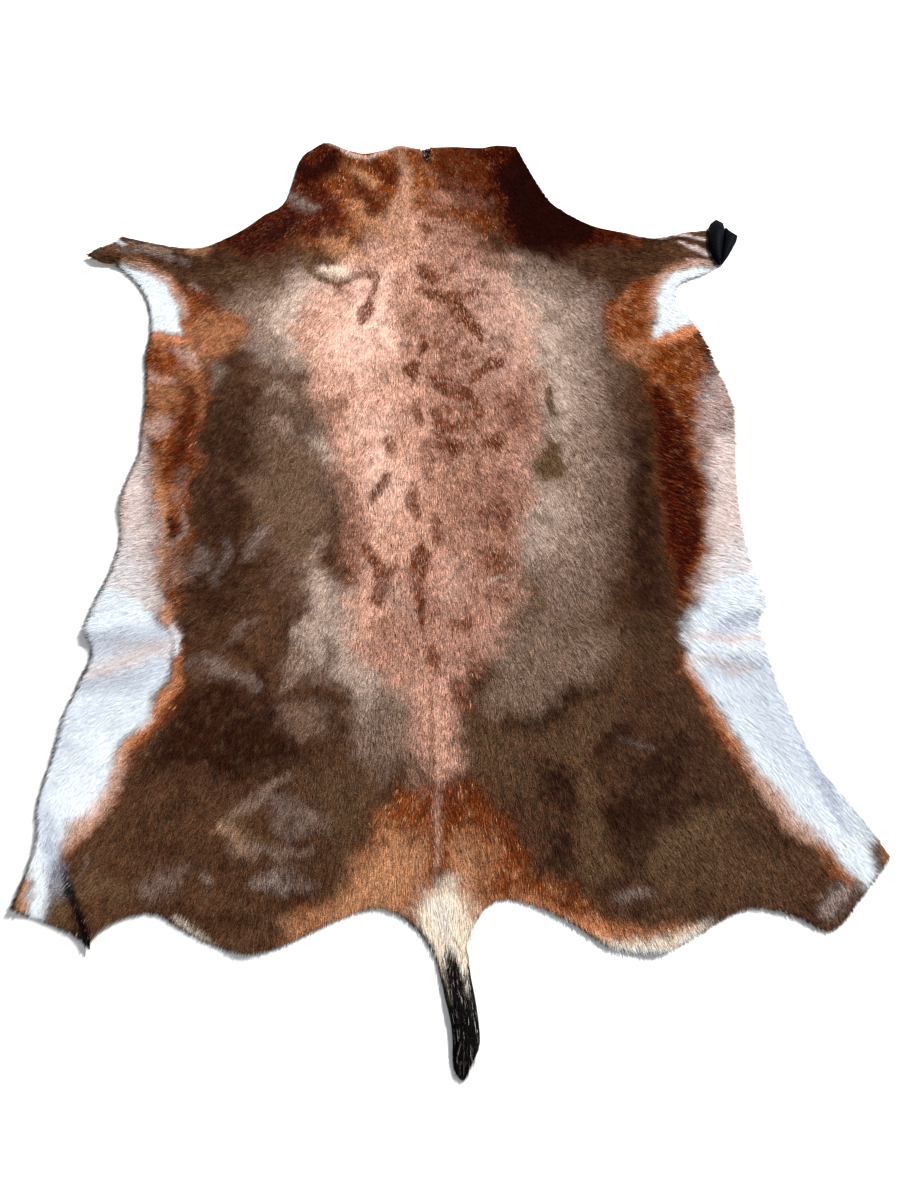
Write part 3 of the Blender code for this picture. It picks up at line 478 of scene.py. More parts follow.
        (-342, 240, 6), (-330, 215, 9), (-332, 190, 11), (-336, 160, 13), (-338, 120, 11), (-336, 96, 8),
    ]),
    Stroke("maroon", 0.6, 7, 6, [(-378, 204, 5), (-392, 198, 5)]),
    Stroke("maroon", 0.5, 8, 6, [(-392, 156, 8), (-372, 140, 9), (-362, 124, 6)]),
    Stroke("maroon", 0.95, 6, 5, [(-346, 40, 7), (-343, 24, 10), (-348, 10, 6)]),
    Stroke("lilac", 0.55, 8, 5, [(-336, 104, 6), (-334, 86, 9), (-340, 70, 6)]),
    Stroke("lilac", 0.8, 4, 3, [(-332, 56, 2), (-328, 36, 4), (-332, 14, 5), (-346, 2, 3)]),
    Stroke("lilac", 0.45, 9, 6, [(-340, -6, 7), (-334, -28, 10), (-340, -52, 7)]),
    Stroke("fringe", 0.4, 10, 9, [(-348, 290, 4), (-330, 278, 7), (-316, 264, 4)]),
    Stroke("fringe", 0.35, 12, 9, [(-396, 262, 6), (-376, 252, 7), (-352, 244, 4)]),
    Stroke("fringe", 0.5, 12, 9, [(-396, 184, 8), (-376, 172, 9), (-356, 180, 4)]),
    Stroke("tan", 0.7, 8, 6, [(-372, 130, 5), (-362, 80, 7), (-356, 20, 7), (-352, -40, 6)]),
    Stroke("maroon", 1.0, 8, 6, [
        (298, 200, 10), (310, 130, 21), (314, 60, 23), (312, 0, 20), (306, -60, 10), (302, -90, 6),
    ]),
    Stroke("maroon", 0.8, 6, 4, [(366, 288, 7), (376, 258, 9), (378, 225, 9), (370, 190, 7)]),
    Stroke("maroon", 0.5, 10, 6, [(318, 206, 8), (336, 170, 10), (334, 120, 6)]),
    # orange rims and their rust
    Stroke("rust", 0.75, 8, 6, [
        (-324, -140, 2), (-320, -172, 3), (-333, -200, 5), (-353, -226, 5), (-371, -252, 5),
        (-387, -290, 4), (-396, -318, 4),
    ]),
    Stroke("rust", 0.75, 8, 6, [
        (294, -176, 3), (303, -204, 4), (317, -232, 5), (330, -260, 5), (342, -290, 5), (354, -330, 4),
    ]),
    Stroke("orange", 0.8, 6, 3, [
        (-346, -84, 5), (-342, -104, 6), (-331, -128, 2), (-326, -150, 3), (-329, -178, 5),
        (-342, -200, 5), (-361, -226, 5), (-381, -257, 5), (-396, -290, 5),
    ]),
    Stroke("orange", 0.55, 9, 5, [
        (-394, -284, 6), (-402, -318, 9), (-420, -344, 11), (-436, -362, 9), (-450, -388, 5),
    ]),
    Stroke("orange", 0.8, 6, 3, [
        (298, -176, 4), (307, -202, 5), (319, -228, 5), (332, -255, 5), (346, -284, 5),
    ]),
    Stroke("orange", 0.6, 9, 5, [
        (346, -284, 6), (360, -312, 7), (374, -342, 9), (396, -374, 9), (424, -402, 9), (446, -424, 8),
        (460, -444, 7),
    ]),
    Stroke("blush", 0.65, 9, 6, [
        (-384, -262, 4), (-396, -300, 8), (-412, -330, 11), (-432, -352, 10), (-446, -374, 5),
    ]),
    Stroke("blush", 0.65, 9, 6, [(352, -300, 4), (370, -338, 8), (392, -368, 9), (416, -394, 8)]),
    Stroke("orange", 0.5, 7, 4, [
        (-428, 440, 5), (-398, 429, 6), (-374, 412, 6), (-355, 385, 7), (-346, 350, 7), (-338, 312, 6),
    ]),
    Stroke("blush", 0.6, 6, 4, [
        (-428, 436, 3), (-396, 424, 4), (-370, 404, 5), (-352, 376, 5), (-346, 345, 4),
    ]),
    Stroke("orange", 0.95, 6, 4, [(-392, 316, 5), (-368, 310, 7), (-346, 303, 6), (-330, 300, 3)]),
    Stroke("orange", 0.4, 6, 4, [
        (395, 400, 4), (365, 404, 6), (338, 394, 6), (320, 378, 6), (309, 352, 6), (305, 320, 6),
        (301, 290, 5),
    ]),
    Stroke("blush", 0.65, 5, 4, [
        (395, 397, 3), (366, 400, 4), (340, 390, 5), (324, 376, 5), (313, 352, 4), (309, 322, 4),
    ]),
    Stroke("white", -0.95, 4, 3, [(490, -366, 4), (500, -392, 8), (496, -422, 6)]),
    Stroke("orange", 1.0, 7, 5, [(302, 276, 6), (322, 280, 9), (345, 290, 10), (368, 302, 9)]),
    # left foreleg
    Stroke("soot", 0.7, 4, 3, [(-440, 476, 3), (-400, 466, 4), (-372, 459, 4), (-345, 455, 3)]),
    Stroke("olive", 0.6, 7, 6, [(-486, 446, 9), (-462, 452, 10), (-440, 462, 7)]),
    Stroke("lilac", 0.7, 5, 5, [(-440, 452, 3), (-400, 450, 5), (-370, 440, 6), (-344, 430, 3)]),
    Stroke("grey", 0.5, 6, 5, [(-430, 466, 4), (-400, 460, 5), (-372, 448, 6)]),
    Stroke("rim", 0.9, 3, 2, [
        (-430, 484, 2), (-396, 473, 2.5), (-364, 462, 2.5), (-330, 460, 3), (-306, 470, 3),
    ]),
    Stroke("white", 0.9, 3, 2, [(-452, 480, 4), (-440, 470, 3), (-434, 463, 2)]),
    Stroke("lilac", 0.9, 2, 1.5, [(-338, 397, 2), (-328, 392, 3), (-322, 387, 2)]),
    Stroke("tan", 0.6, 7, 5, [(-340, 450, 5), (-322, 452, 6), (-306, 458, 4)]),
    Stroke("soot", 0.5, 14, 10, [(-352, 430, 8), (-310, 424, 14), (-262, 430, 12)]),
    Stroke("rust", 0.7, 8, 6, [(-330, 462, 4), (-310, 464, 8), (-290, 462, 8)]),
    # right foreleg
    Stroke("rim", 0.95, 3, 2, [
        (262, 472, 2), (300, 456, 3), (340, 458, 4), (372, 464, 4), (400, 466, 3),
    ]),
    Stroke("soot", 0.7, 4, 4, [(300, 446, 3), (340, 444, 5), (372, 448, 4), (396, 452, 3)]),
    Stroke("fringe", 0.8, 2.5, 3, [(330, 450, 2), (356, 456, 3), (378, 452, 3), (398, 444, 3)]),
    Stroke("fringe", 0.85, 3, 4, [(356, 440, 2), (378, 430, 4), (398, 416, 4)]),
    Stroke("fringe", 0.85, 2.5, 3, [(364, 408, 2), (384, 404, 3), (400, 402, 3)]),
    Stroke("black", 0.7, 3, 2, [(386, 398, 2), (398, 404, 3), (408, 398, 2)]),
    Stroke("rust", 0.8, 9, 7, [(256, 466, 6), (276, 460, 10), (296, 448, 6)]),
    Stroke("soot", 0.5, 12, 9, [(262, 396, 10), (292, 388, 10)]),
    Stroke("soot", 0.4, 12, 8, [(150, 424, 8), (176, 416, 14), (210, 420, 8)]),
    Stroke("olive", 0.5, 8, 6, [(168, 370, 6), (182, 366, 8)]),
    Stroke("lilac", 0.4, 20, 12, [(208, 350, 14), (232, 320, 16), (216, 270, 12)]),
    # belly
    # Painted shade: the pink and blue bands across the belly are the shaded slopes of its low folds.
    Stroke("mist", 0.5, 12, 8, [(-450, -150, 10), (-400, -132, 12), (-360, -128, 8)]),
    Stroke("blush", 0.5, 13, 8, [(-442, -164, 9), (-400, -150, 13), (-350, -138, 10)]),
    Stroke("blush", 0.55, 5, 5, [(306, -146, 3), (348, -148, 5), (394, -152, 4)]),
    Stroke("blush", 0.45, 8, 6, [(308, -176, 4), (344, -186, 6), (372, -190, 4)]),
    Stroke("mist", 0.7, 16, 6, [(-478, -330, 8), (-466, -368, 12), (-456, -400, 9), (-456, -420, 5)]),
    Stroke("mist", 0.35, 20, 10, [(-470, -230, 14), (-450, -260, 14)]),
    Stroke("white", 0.9, 3, 3, [(-338, -110, 3), (-333, -124, 5), (-330, -142, 4)]),
    Stroke("mist", 0.6, 8, 6, [(330, -142, 6), (360, -134, 9), (394, -130, 6)]),
    # a thin dark line painted along the right armpit's edge
    Stroke("black", 0.5, 1.2, 1, [
        (412, 398, 1), (392, 387, 1), (370, 379, 1), (354, 373, 1), (345, 360, 1), (343, 345, 1),
        (348, 331, 1), (364, 312, 1),
    ]),
    # painted shadow below the left armpit's white, along its low pleat
    Stroke("black", 0.6, 1.2, 1, [(-390, 320, 1), (-366, 315, 1), (-346, 309, 0.6)]),
    Stroke("mist", 0.6, 12, 8, [(330, -196, 8), (360, -184, 12), (398, -190, 8)]),
    Stroke("mist", 0.45, 14, 8, [(344, -232, 6), (372, -224, 12), (402, -228, 8)]),
    Stroke("orange", 0.45, 8, 6, [(312, -166, 5), (324, -180, 8), (330, -196, 4)]),
    Stroke("mist", 0.75, 12, 6, [(424, -300, 6), (440, -330, 10), (450, -362, 8), (458, -392, 5)]),
    Stroke("mist", 0.5, 2, 1.5, [
        (292, -132, 1.5), (298, -126, 1.5), (304, -134, 1.5), (306, -152, 1.5), (302, -172, 1.5),
        (296, -178, 1),
    ]),
    # left haunch
    Stroke("tan", 0.18, 5, 6, [(-272, -358, 5), (-256, -370, 6), (-246, -384, 4)]),
    Stroke("grey", 0.5, 7, 8, [
        (-193, -303, 3), (-220, -318, 6), (-246, -338, 6), (-267, -358, 5), (-255, -382, 5),
        (-218, -391, 7), (-171, -393, 4),
    ]),
    Stroke("olive", 0.7, 7, 7, [(-262, -350, 7), (-250, -368, 9), (-226, -376, 6)]),
    Stroke("lilac", 0.28, 10, 9, [(-209, -334, 12), (-176, -346, 16), (-150, -363, 9)]),
    Stroke("lilac", 0.75, 8, 8, [(-230, -423, 6), (-202, -419, 10), (-173, -418, 5)]),
    Stroke("lilac", 0.6, 5, 4, [(-286, -410, 4), (-282, -418, 5)]),
    Stroke("lilac", 0.45, 11, 8, [(-347, -426, 8), (-327, -412, 12), (-312, -407, 7)]),
    Stroke("cream", 0.75, 4, 3, [(-317, -456, 1.5), (-298, -473, 3.5), (-272, -488, 4), (-244, -497, 2)]),
    Stroke("olive", 0.7, 12, 8, [(-432, -420, 8), (-404, -414, 16), (-376, -424, 12)]),
    # painted shadow: the crease beside the left hind leg's raised pleat, with a painted highlight along the
    # raised side
    Stroke("black", 0.95, 3, 2, [(-449, -398, 2), (-440, -420, 4), (-428, -446, 5), (-412, -480, 6)]),
    Stroke("lilac", 0.7, 1.5, 1.5, [
        (-420, -382, 1), (-419, -392, 1.2), (-424, -402, 1.2), (-430, -410, 1),
    ]),
    Stroke("olive", 0.7, 5, 4, [(-452, -432, 8), (-450, -456, 9)]),
    Stroke("fringe", 0.7, 4, 3, [(-488, -384, 6), (-488, -402, 5)]),
    Stroke("tan", 0.5, 6, 5, [(-494, -414, 6), (-492, -440, 8)]),
    Stroke("rust", 0.5, 12, 8, [(-172, -452, 10), (-168, -486, 12)]),
    # right haunch
    Stroke("lilac", 1.0, 5, 5, [(419, -477, 9), (440, -460, 12), (462, -453, 6)]),
    Stroke("black", 0.7, 1.5, 1.5, [(414, -470, 1.5), (428, -458, 1.5), (444, -446, 1)]),
    Stroke("black", 0.7, 1.5, 1.5, [(426, -486, 1.5), (442, -470, 1.5), (456, -458, 1)]),
    Stroke("black", 0.5, 1.5, 1.5, [(404, -482, 1.5), (412, -488, 1.5)]),
    Stroke("rust", 0.6, 6, 5, [(432, -436, 5), (450, -440, 6)]),
    Stroke("tan", 0.5, 4, 3, [(494, -392, 5), (497, -420, 5)]),
    Stroke("olive", 0.75, 12, 9, [(218, -424, 8), (262, -396, 16), (300, -374, 14), (336, -352, 8)]),
    Stroke("olive", 0.6, 18, 10, [(116, -272, 12), (160, -258, 20), (196, -240, 12)]),
    Stroke("soot", 0.9, 7, 7, [(331, -377, 8), (351, -388, 10), (375, -404, 5)]),
    Stroke("soot", 0.9, 7, 8, [(175, -212, 6), (129, -233, 12), (89, -251, 7)]),
    Stroke("lilac", 0.3, 3, 3, [(204, -272, 2), (224, -276, 3), (244, -284, 2)]),
    Stroke("cream", 0.85, 7, 4, [
        (150, -495, 2), (175, -504, 6), (206, -508, 9), (242, -506, 9), (269, -495, 6), (288, -486, 2),
    ]),
    Stroke("white", 0.8, 3, 2, [
        (120, -477, 1.5), (150, -496, 2), (175, -507, 3), (206, -513, 3), (242, -513, 3), (270, -498, 2),
    ]),
    Stroke("orange", 0.6, 9, 5, [
        (46, -448, 3), (100, -458, 7), (150, -484, 9), (200, -492, 6), (262, -490, 3),
    ]),
    Stroke("lilac", 0.6, 6, 7, [(182, -455, 4), (204, -451, 7), (224, -452, 4)]),
    Stroke("soot", 0.9, 6, 6, [(206, -470, 5), (214, -488, 6)]),
    Stroke("black", 0.6, 2, 2, [(224, -478, 1.5), (232, -494, 2), (240, -506, 1)]),
    # painted shadow in a small slit of the right rump
    Stroke("black", 0.7, 1.5, 1, [(279, -484, 1), (293, -485, 1)]),
    # rump
    Stroke("saddle", 0.8, 5, 4, [(-18, -330, 6), (-18, -370, 5), (-20, -404, 4)]),
    Stroke("rust", -0.85, 4, 3, [(-14, -300, 4), (-17, -340, 5), (-18, -375, 5), (-20, -410, 4)]),
    Stroke("tan", -0.6, 4, 3, [(-14, -300, 4), (-17, -340, 5), (-18, -375, 5), (-20, -410, 4)]),
    Stroke("blotch", 0.9, 1.5, 1.5, [(-17, -180, 1), (-21, -260, 1.2), (-20, -340, 1.2), (-23, -404, 1)]),
    Stroke("rust", 0.7, 6, 5, [(10, -384, 6), (16, -398, 5)]),
    Stroke("lilac", 0.45, 2.5, 2, [(-22, -404, 1), (-18, -440, 1.2), (-10, -486, 1)]),
    Stroke("soot", 0.6, 1.5, 1.5, [(-95, -430, 1), (-105, -448, 1.4)]),
]

# Spots about pitch apart break up a layer, or the whole coat where over is empty. A strength under 0 rubs
# its layer out in them.
Mottle = namedtuple("Mottle", "layer over strength pitch")
MOTTLES = [
    Mottle("blotch", "", -0.3, 6),
    Mottle("lilac", "", -0.5, 11),
    Mottle("maroon", "blotch", 0.45, 9),
    Mottle("blotch", "saddle", 0.22, 5),
    Mottle("rust", "saddle", 0.2, 26),
    Mottle("olive", "grey", 0.45, 12),
    Mottle("soot", "", 0.45, 20),
    Mottle("olive", "", 0.3, 8),
    Mottle("maroon", "rust", 0.35, 14),
    Mottle("tan", "rust", 0.3, 9),
    Mottle("ember", "maroon", 0.4, 12),
    Mottle("mist", "white", 0.12, 34),
]

# The hair lies along heading, in degrees anticlockwise from +X. Its length is in millimetres.
Nap = namedtuple("Nap", "x y heading length")
NAP = [
    # spine, neck to tail
    Nap(0, 600, 270, 9), Nap(0, 480, 270, 10), Nap(0, 360, 270, 11), Nap(0, 220, 270, 12),
    Nap(0, 80, 270, 12), Nap(0, -80, 270, 12), Nap(0, -240, 270, 12), Nap(0, -380, 270, 14),
    Nap(-5, -480, 270, 20), Nap(0, -560, 270, 26),
    # left side
    Nap(-120, 600, 262, 9), Nap(-170, 520, 240, 10), Nap(-240, 460, 215, 10), Nap(-120, 420, 262, 10),
    Nap(-130, 260, 258, 11), Nap(-220, 330, 240, 11), Nap(-220, 180, 248, 12), Nap(-140, 80, 256, 12),
    Nap(-220, 20, 244, 12), Nap(-160, -100, 244, 12), Nap(-300, 240, 240, 13), Nap(-300, 90, 232, 13),
    Nap(-370, 240, 222, 15), Nap(-380, 120, 205, 17), Nap(-390, 0, 200, 18), Nap(-400, -70, 192, 18),
    Nap(-280, -60, 226, 12), Nap(-280, -180, 232, 12), Nap(-400, -160, 216, 15), Nap(-420, -260, 228, 14),
    Nap(-460, -350, 238, 14), Nap(-330, -280, 250, 12), Nap(-220, -260, 254, 12),
    Nap(-120, -260, 262, 12), Nap(-480, -420, 245, 12), Nap(-400, -440, 245, 12),
    Nap(-300, -440, 252, 13), Nap(-180, -440, 256, 14),
    # left foreleg
    Nap(-300, 400, 205, 12), Nap(-380, 440, 178, 11), Nap(-460, 450, 175, 9), Nap(-400, 380, 240, 14),
    Nap(-370, 310, 232, 14),
    # right side
    Nap(110, 600, 290, 9), Nap(170, 530, 318, 10), Nap(240, 470, 325, 10), Nap(120, 420, 278, 10),
    Nap(130, 260, 284, 11), Nap(220, 330, 305, 11), Nap(220, 180, 305, 12), Nap(140, 80, 290, 12),
    Nap(220, 20, 300, 12), Nap(160, -100, 290, 12), Nap(280, 240, 318, 13), Nap(290, 90, 315, 14),
    Nap(350, 250, 330, 15), Nap(355, 120, 335, 17), Nap(360, 0, 338, 18), Nap(370, -80, 345, 18),
    Nap(280, -60, 310, 13), Nap(260, -180, 300, 12), Nap(360, -160, 318, 15), Nap(400, -240, 310, 14),
    Nap(440, -330, 302, 14), Nap(300, -280, 290, 12), Nap(220, -260, 284, 12), Nap(110, -260, 278, 12),
    Nap(480, -410, 300, 12), Nap(400, -440, 292, 12), Nap(300, -440, 286, 13), Nap(170, -440, 284, 14),
    # right foreleg
    Nap(290, 410, 345, 12), Nap(360, 435, 5, 11), Nap(400, 445, 8, 10), Nap(350, 370, 320, 14),
    Nap(350, 300, 318, 14),
]

NOISE_REACH = 800  # how far from the middle the noise is known


def value_noise(x, y, pitch, seed):
    """Smooth noise from -1 to 1 at any points, with its bumps about pitch apart."""
    size = int(2 * NOISE_REACH / pitch) + 3
    knots = np.random.default_rng(seed).uniform(-1, 1, (size, size))
    u = (x + NOISE_REACH) / pitch
    v = (y + NOISE_REACH) / pitch
    i = np.floor(u).astype(int)
    j = np.floor(v).astype(int)
    u = u - i
    v = v - j
    u = u * u * (3 - 2 * u)
    v = v * v * (3 - 2 * v)
    low = knots[j, i] * (1 - u) + knots[j, i + 1] * u
    high = knots[j + 1, i] * (1 - u) + knots[j + 1, i + 1] * u
    return low * (1 - v) + high * v


def noise_sum(x, y, waves):
    """Noises laid over each other, from rows of strength, pitch and seed."""
    return sum(strength * value_noise(x, y, pitch, seed) for strength, pitch, seed in waves)


def area_reach(x, y, corners):
    """How far each point is inside a polygon, and under 0 outside it."""
    return edge_reach(x, y, [(*a, *b) for a, b in zip(corners, corners[1:] + corners[:1])])


def edge_reach(x, y, edges):
    """The same from the closed outline's edges, as rows of both their ends."""
    nearest = np.full(x.shape, np.inf, x.dtype)
    within = np.zeros(x.shape, bool)
    for ax, ay, bx, by in edges:
        run, rise = bx - ax, by - ay
        along = np.clip(((x - ax) * run + (y - ay) * rise) / (run * run + rise * rise), 0, 1)
        nearest = np.minimum(nearest, np.hypot(x - ax - along * run, y - ay - along * rise))
        within ^= ((ay > y) != (by > y)) & (x < ax + (y - ay) * run / (rise or 1))
    return np.where(within, nearest, -nearest)


def stroke_reach(x, y, path):
    """How far each point is inside a stroke, and under 0 outside it."""
    best = np.full(x.shape, -np.inf)
    for (ax, ay, a_wide), (bx, by, b_wide) in zip(path, path[1:] or path):
        run, rise = bx - ax, by - ay
        along = np.clip(((x - ax) * run + (y - ay) * rise) / max(run * run + rise * rise, 1), 0, 1)
        gap = np.hypot(x - ax - along * run, y - ay - along * rise)
        best = np.maximum(best, a_wide + (b_wide - a_wide) * along - gap)
    return best


CELL = 2  # of the grids that hold the pattern
GRID_X = np.arange(-520, 521, CELL)
GRID_Y = np.arange(-650, 661, CELL)


def read_grid(grid, x, y, cell=CELL):
    """The grid's value at any points, between its cells' centres."""
    u = np.clip((x - GRID_X[0]) / cell, 0, grid.shape[-1] - 1.001)
    v = np.clip((y - GRID_Y[0]) / cell, 0, grid.shape[-2] - 1.001)
    i = u.astype(int)
    j = v.astype(int)
    u = (u - i).astype(np.float32)
    v = (v - j).astype(np.float32)
    low = grid[..., j, i] * (1 - u) + grid[..., j, i + 1] * u
    high = grid[..., j + 1, i] * (1 - u) + grid[..., j + 1, i + 1] * u
    return low * (1 - v) + high * v


def grid_places(kind):
    """The x and the y of each place of the grid, as numbers of this kind."""
    return np.meshgrid(GRID_X.astype(kind), GRID_Y.astype(kind))


# The marks' edges wander with these noises, as rows of strength, pitch and seed.
DRIFT_EAST = ((1, 34, 1), (0.6, 13, 2), (0.4, 5, 3))
DRIFT_NORTH = ((1, 34, 4), (0.6, 13, 5), (0.4, 5, 6))
DRIFT_MOST = 2  # the sum of the strengths
SPOT_CONTRAST = 1.6
SPOT_FLOOR = 0.2


def mark_window(mark, points):
    """The rows and the columns of the grid that a mark can reach."""
    widest = max([0] + [point[2] for point in points if len(point) == 3])
    spare = mark.soft + DRIFT_MOST * mark.ragged + widest
    window = []
    for axis, places in ((1, GRID_Y), (0, GRID_X)):
        values = [point[axis] for point in points]
        window.append(slice(*np.searchsorted(places, (min(values) - spare, max(values) + spare))))
    return tuple(window)


def laid(layer, cover, strength):
    """A layer's share with a cover laid on, or rubbed out of it where the strength is under 0."""
    return np.maximum(layer, cover) if strength > 0 else layer * (1 - cover)


def paint_coat():
    """Each layer's share on the grid, from 0 to 1."""
    x, y = grid_places(float)
    drift_x, drift_y = noise_sum(x, y, DRIFT_EAST), noise_sum(x, y, DRIFT_NORTH)
    share = np.zeros((len(LAYERS), *x.shape), np.float32)
    for mark in AREAS + STROKES:
        filled = isinstance(mark, Area)
        points = mark.corners if filled else mark.path
        part = mark_window(mark, points)
        moved = (x[part] + mark.ragged * drift_x[part], y[part] + mark.ragged * drift_y[part])
        reach = (area_reach if filled else stroke_reach)(*moved, points)
        cover = np.clip(0.5 + reach / (2 * mark.soft), 0, 1)
        cover = cover * cover * (3 - 2 * cover) * abs(mark.strength)
        layer = share[LAYER_INDEX[mark.layer]]
        layer[part] = laid(layer[part], cover, mark.strength)
    for k, mottle in enumerate(MOTTLES):
        spots = noise_sum(x, y, ((1, mottle.pitch, 31 + k), (0.7, mottle.pitch / 2.3, 51 + k)))
        cover = np.clip(SPOT_CONTRAST * spots - SPOT_FLOOR, 0, 1) * abs(mottle.strength)
        if mottle.over:
            cover = cover * share[LAYER_INDEX[mottle.over]]
        layer = share[LAYER_INDEX[mottle.layer]]
        layer[:] = laid(layer, cover, mottle.strength)
    return share


# Ground
SKIN_THICK = 1.5
SKIN_INSET = 3.0  # from the CAD outline, so that the hair hides its edge
MERGE = 1e-6  # metres
NAP_BLEND = 45  # how softly one way of lying turns into the next
HEIGHT_STEP = 3  # grid cells between the places where the CAD hide's height is read
BRUSH_RINGS = 12
BRUSH_RISE = 28  # how far up the tail's root the brush begins to swell
SLIT = [(-16, 592), (-16, 623), (-5, 624), (5, 627), (16, 627), (16, 592)]  # in the neck, under hair
# The edge's painted shadow: hair painted black along the outline, away from the key light at the top right.
EDGE_SHADOW = 4.2  # how far inside the outline the hair is painted black as the edge's shadow where it faces the left
EDGE_SHADOW_LEAST = 0.22  # the share of that distance where it faces the right
EDGE_SHADOW_SOFT = 1.5
EDGE_SHADOW_SHARE = 0.95
NECKWARD = -0.6  # how the depth changes to the north where the edge faces the neck
NO_EDGE_SHADOW = -9
SIDE_HEIGHT = 2.0  # at which the brush's width is measured
TAIL_ROOT = -490  # from here down the black and the cream hairs mix


def merged_node(name):
    """The CAD node as a bmesh whose faces share their corners, in metres."""
    shape = bmesh.new()
    shape.from_mesh(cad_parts[name].data)
    bmesh.ops.remove_doubles(shape, verts=shape.verts, dist=MERGE)
    shape.normal_update()
    return shape


def is_underside(face):
    """Whether a face looks down."""
    return face.normal.z < -0.5


def outline_edges(shape):
    """The border of a flat solid's underside, as rows of (ax, ay, bx, by) in millimetres."""
    border = [e for e in shape.edges if sum(is_underside(face) for face in e.link_faces) == 1]
    return [[c / MM for vert in edge.verts for c in vert.co.xy] for edge in border]


def brush_sections():
    """The CAD brush's left, right and upper reach from the tail's root to its end, in millimetres."""
    shape = merged_node("tail_brush")
    tree = BVHTree.FromBMesh(shape)
    shape.free()
    low, high = (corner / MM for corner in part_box("tail_brush"))
    rows = []
    for y in np.linspace(high.y - 0.5, low.y + 1.5, BRUSH_RINGS):
        start = Vector((0, y, SIDE_HEIGHT)) * MM
        left = tree.ray_cast(Vector((-1, start.y, start.z)), Vector((1, 0, 0)))[0]
        right = tree.ray_cast(Vector((1, start.y, start.z)), Vector((-1, 0, 0)))[0]
        spots = [left.x + (right.x - left.x) * share for share in (0.2, 0.35, 0.5, 0.65, 0.8)]
        falls = [tree.ray_cast(Vector((x, start.y, 1)), Vector((0, 0, -1)))[0] for x in spots]
        top = max(fall.z for fall in falls if fall is not None)
        rows.append((y, left.x / MM, right.x / MM, top / MM))
    y, left, right, top = rows[0]
    rise = [
        (y + BRUSH_RISE, left - 7, right - 2, SKIN_THICK),
        (y + BRUSH_RISE / 2, left - 4, right - 2, 0.6 * top),
    ]
    return np.array(rise + rows)


def brush_form(stations):
    """How deep each place of the grid is inside the brush as seen from above, and its height there."""
    y, left, right, top = stations.T
    corners = list(zip(left, y)) + list(zip(right[::-1], y[::-1]))
    grid_x, grid_y = grid_places(np.float32)
    left, right, top = (np.interp(grid_y, y[::-1], column[::-1]) for column in (left, right, top))
    reach = (2 * grid_x - left - right) / (right - left)
    return area_reach(grid_x, grid_y, corners), top * np.sqrt(np.maximum(1 - reach**2, 0))


def skin_heights(shape):
    """The height of the skin's upper face over the grid, also a little outside the outline."""
    tree = BVHTree.FromBMesh(shape)
    grid_x, grid_y = GRID_X[::HEIGHT_STEP], GRID_Y[::HEIGHT_STEP]
    heights = np.full((len(grid_y), len(grid_x)), np.nan)
    for j, i in np.ndindex(heights.shape):
        hit = tree.ray_cast(Vector((grid_x[i] * MM, grid_y[j] * MM, -1)), Vector((0, 0, 1)))[0]
        if hit is not None:
            heights[j, i] = hit.z / MM
    while np.isnan(heights).any():  # each round fills one more ring of cells outside
        edged = np.pad(heights, 1, constant_values=np.nan)
        around = np.stack([edged[:-2, 1:-1], edged[2:, 1:-1], edged[1:-1, :-2], edged[1:-1, 2:]])
        known = ~np.isnan(around)
        fill = np.isnan(heights) & known.any(0)
        heights[fill] = (np.where(known, around, 0).sum(0) / np.maximum(known.sum(0), 1))[fill]
    x, y = grid_places(int)
    return read_grid(heights, x, y, HEIGHT_STEP * CELL) + SKIN_THICK


def nap_grids():
    """The way the hair lies, as an east and a north part, and its length."""
    x, y = grid_places(np.float32)
    east, north, length, total = np.zeros((4, *x.shape), np.float32)
    for nap in NAP:
        weight = ((x - nap.x) ** 2 + (y - nap.y) ** 2 + NAP_BLEND**2) ** -1.5
        east += weight * math.cos(math.radians(nap.heading))
        north += weight * math.sin(math.radians(nap.heading))
        length += weight * nap.length
        total += weight
    return east / total, north / total, length / total


def paint_edge_shadow(share, depth):
    """Paints the edge's shadow into the hair as black: widely where it faces the left, thinly where it
    faces down or right, and not where it faces the neck."""
    rise_y, rise_x = np.gradient(depth, CELL)
    facing = np.clip(0.4 + 0.7 * rise_x + 0.05 * rise_y, EDGE_SHADOW_LEAST, 1)
    reach = EDGE_SHADOW * facing + np.where(rise_y < NECKWARD, NO_EDGE_SHADOW, 0)
    cover = np.clip((reach - depth) / EDGE_SHADOW_SOFT + 0.5, 0, 1) * EDGE_SHADOW_SHARE
    black = LAYER_INDEX["black"]
    share[black] = np.maximum(share[black], cover)


def survey_hide():
    """The grids that the pieces share: how deep a place is inside the outline, the height on which the
    hair lies, the coat's layers, the way the hair lies and its length."""
    shape = merged_node("hide")
    x, y = grid_places(np.float32)
    east, north, length = nap_grids()
    brush_depth, brush_height = brush_form(brush_sections())
    depth = np.maximum(edge_reach(x, y, outline_edges(shape)), brush_depth)
    heights = skin_heights(shape)
    share = paint_coat()
    paint_edge_shadow(share, depth)
    ground = SimpleNamespace(
        depth=np.maximum(depth, area_reach(x, y, SLIT)),
        height=np.where(brush_depth > 0, np.maximum(heights, brush_height - 1), heights),
        share=share,
        east=east,
        north=north,
        length=length,
    )
    shape.free()
    return ground


SURVEY = {}


def surveyed():
    """The hide's grids, worked out once."""
    if not SURVEY:
        SURVEY["hide"] = survey_hide()
    return SURVEY["hide"]


# Meshes
PLAN_MAP = "OFBake"  # a map seen from above, which suits hair that lies flat


def place_object(name, data):
    """A new object in the scene."""
    placed = bpy.data.objects.new(name, data)
    bpy.context.scene.collection.objects.link(placed)
    return placed


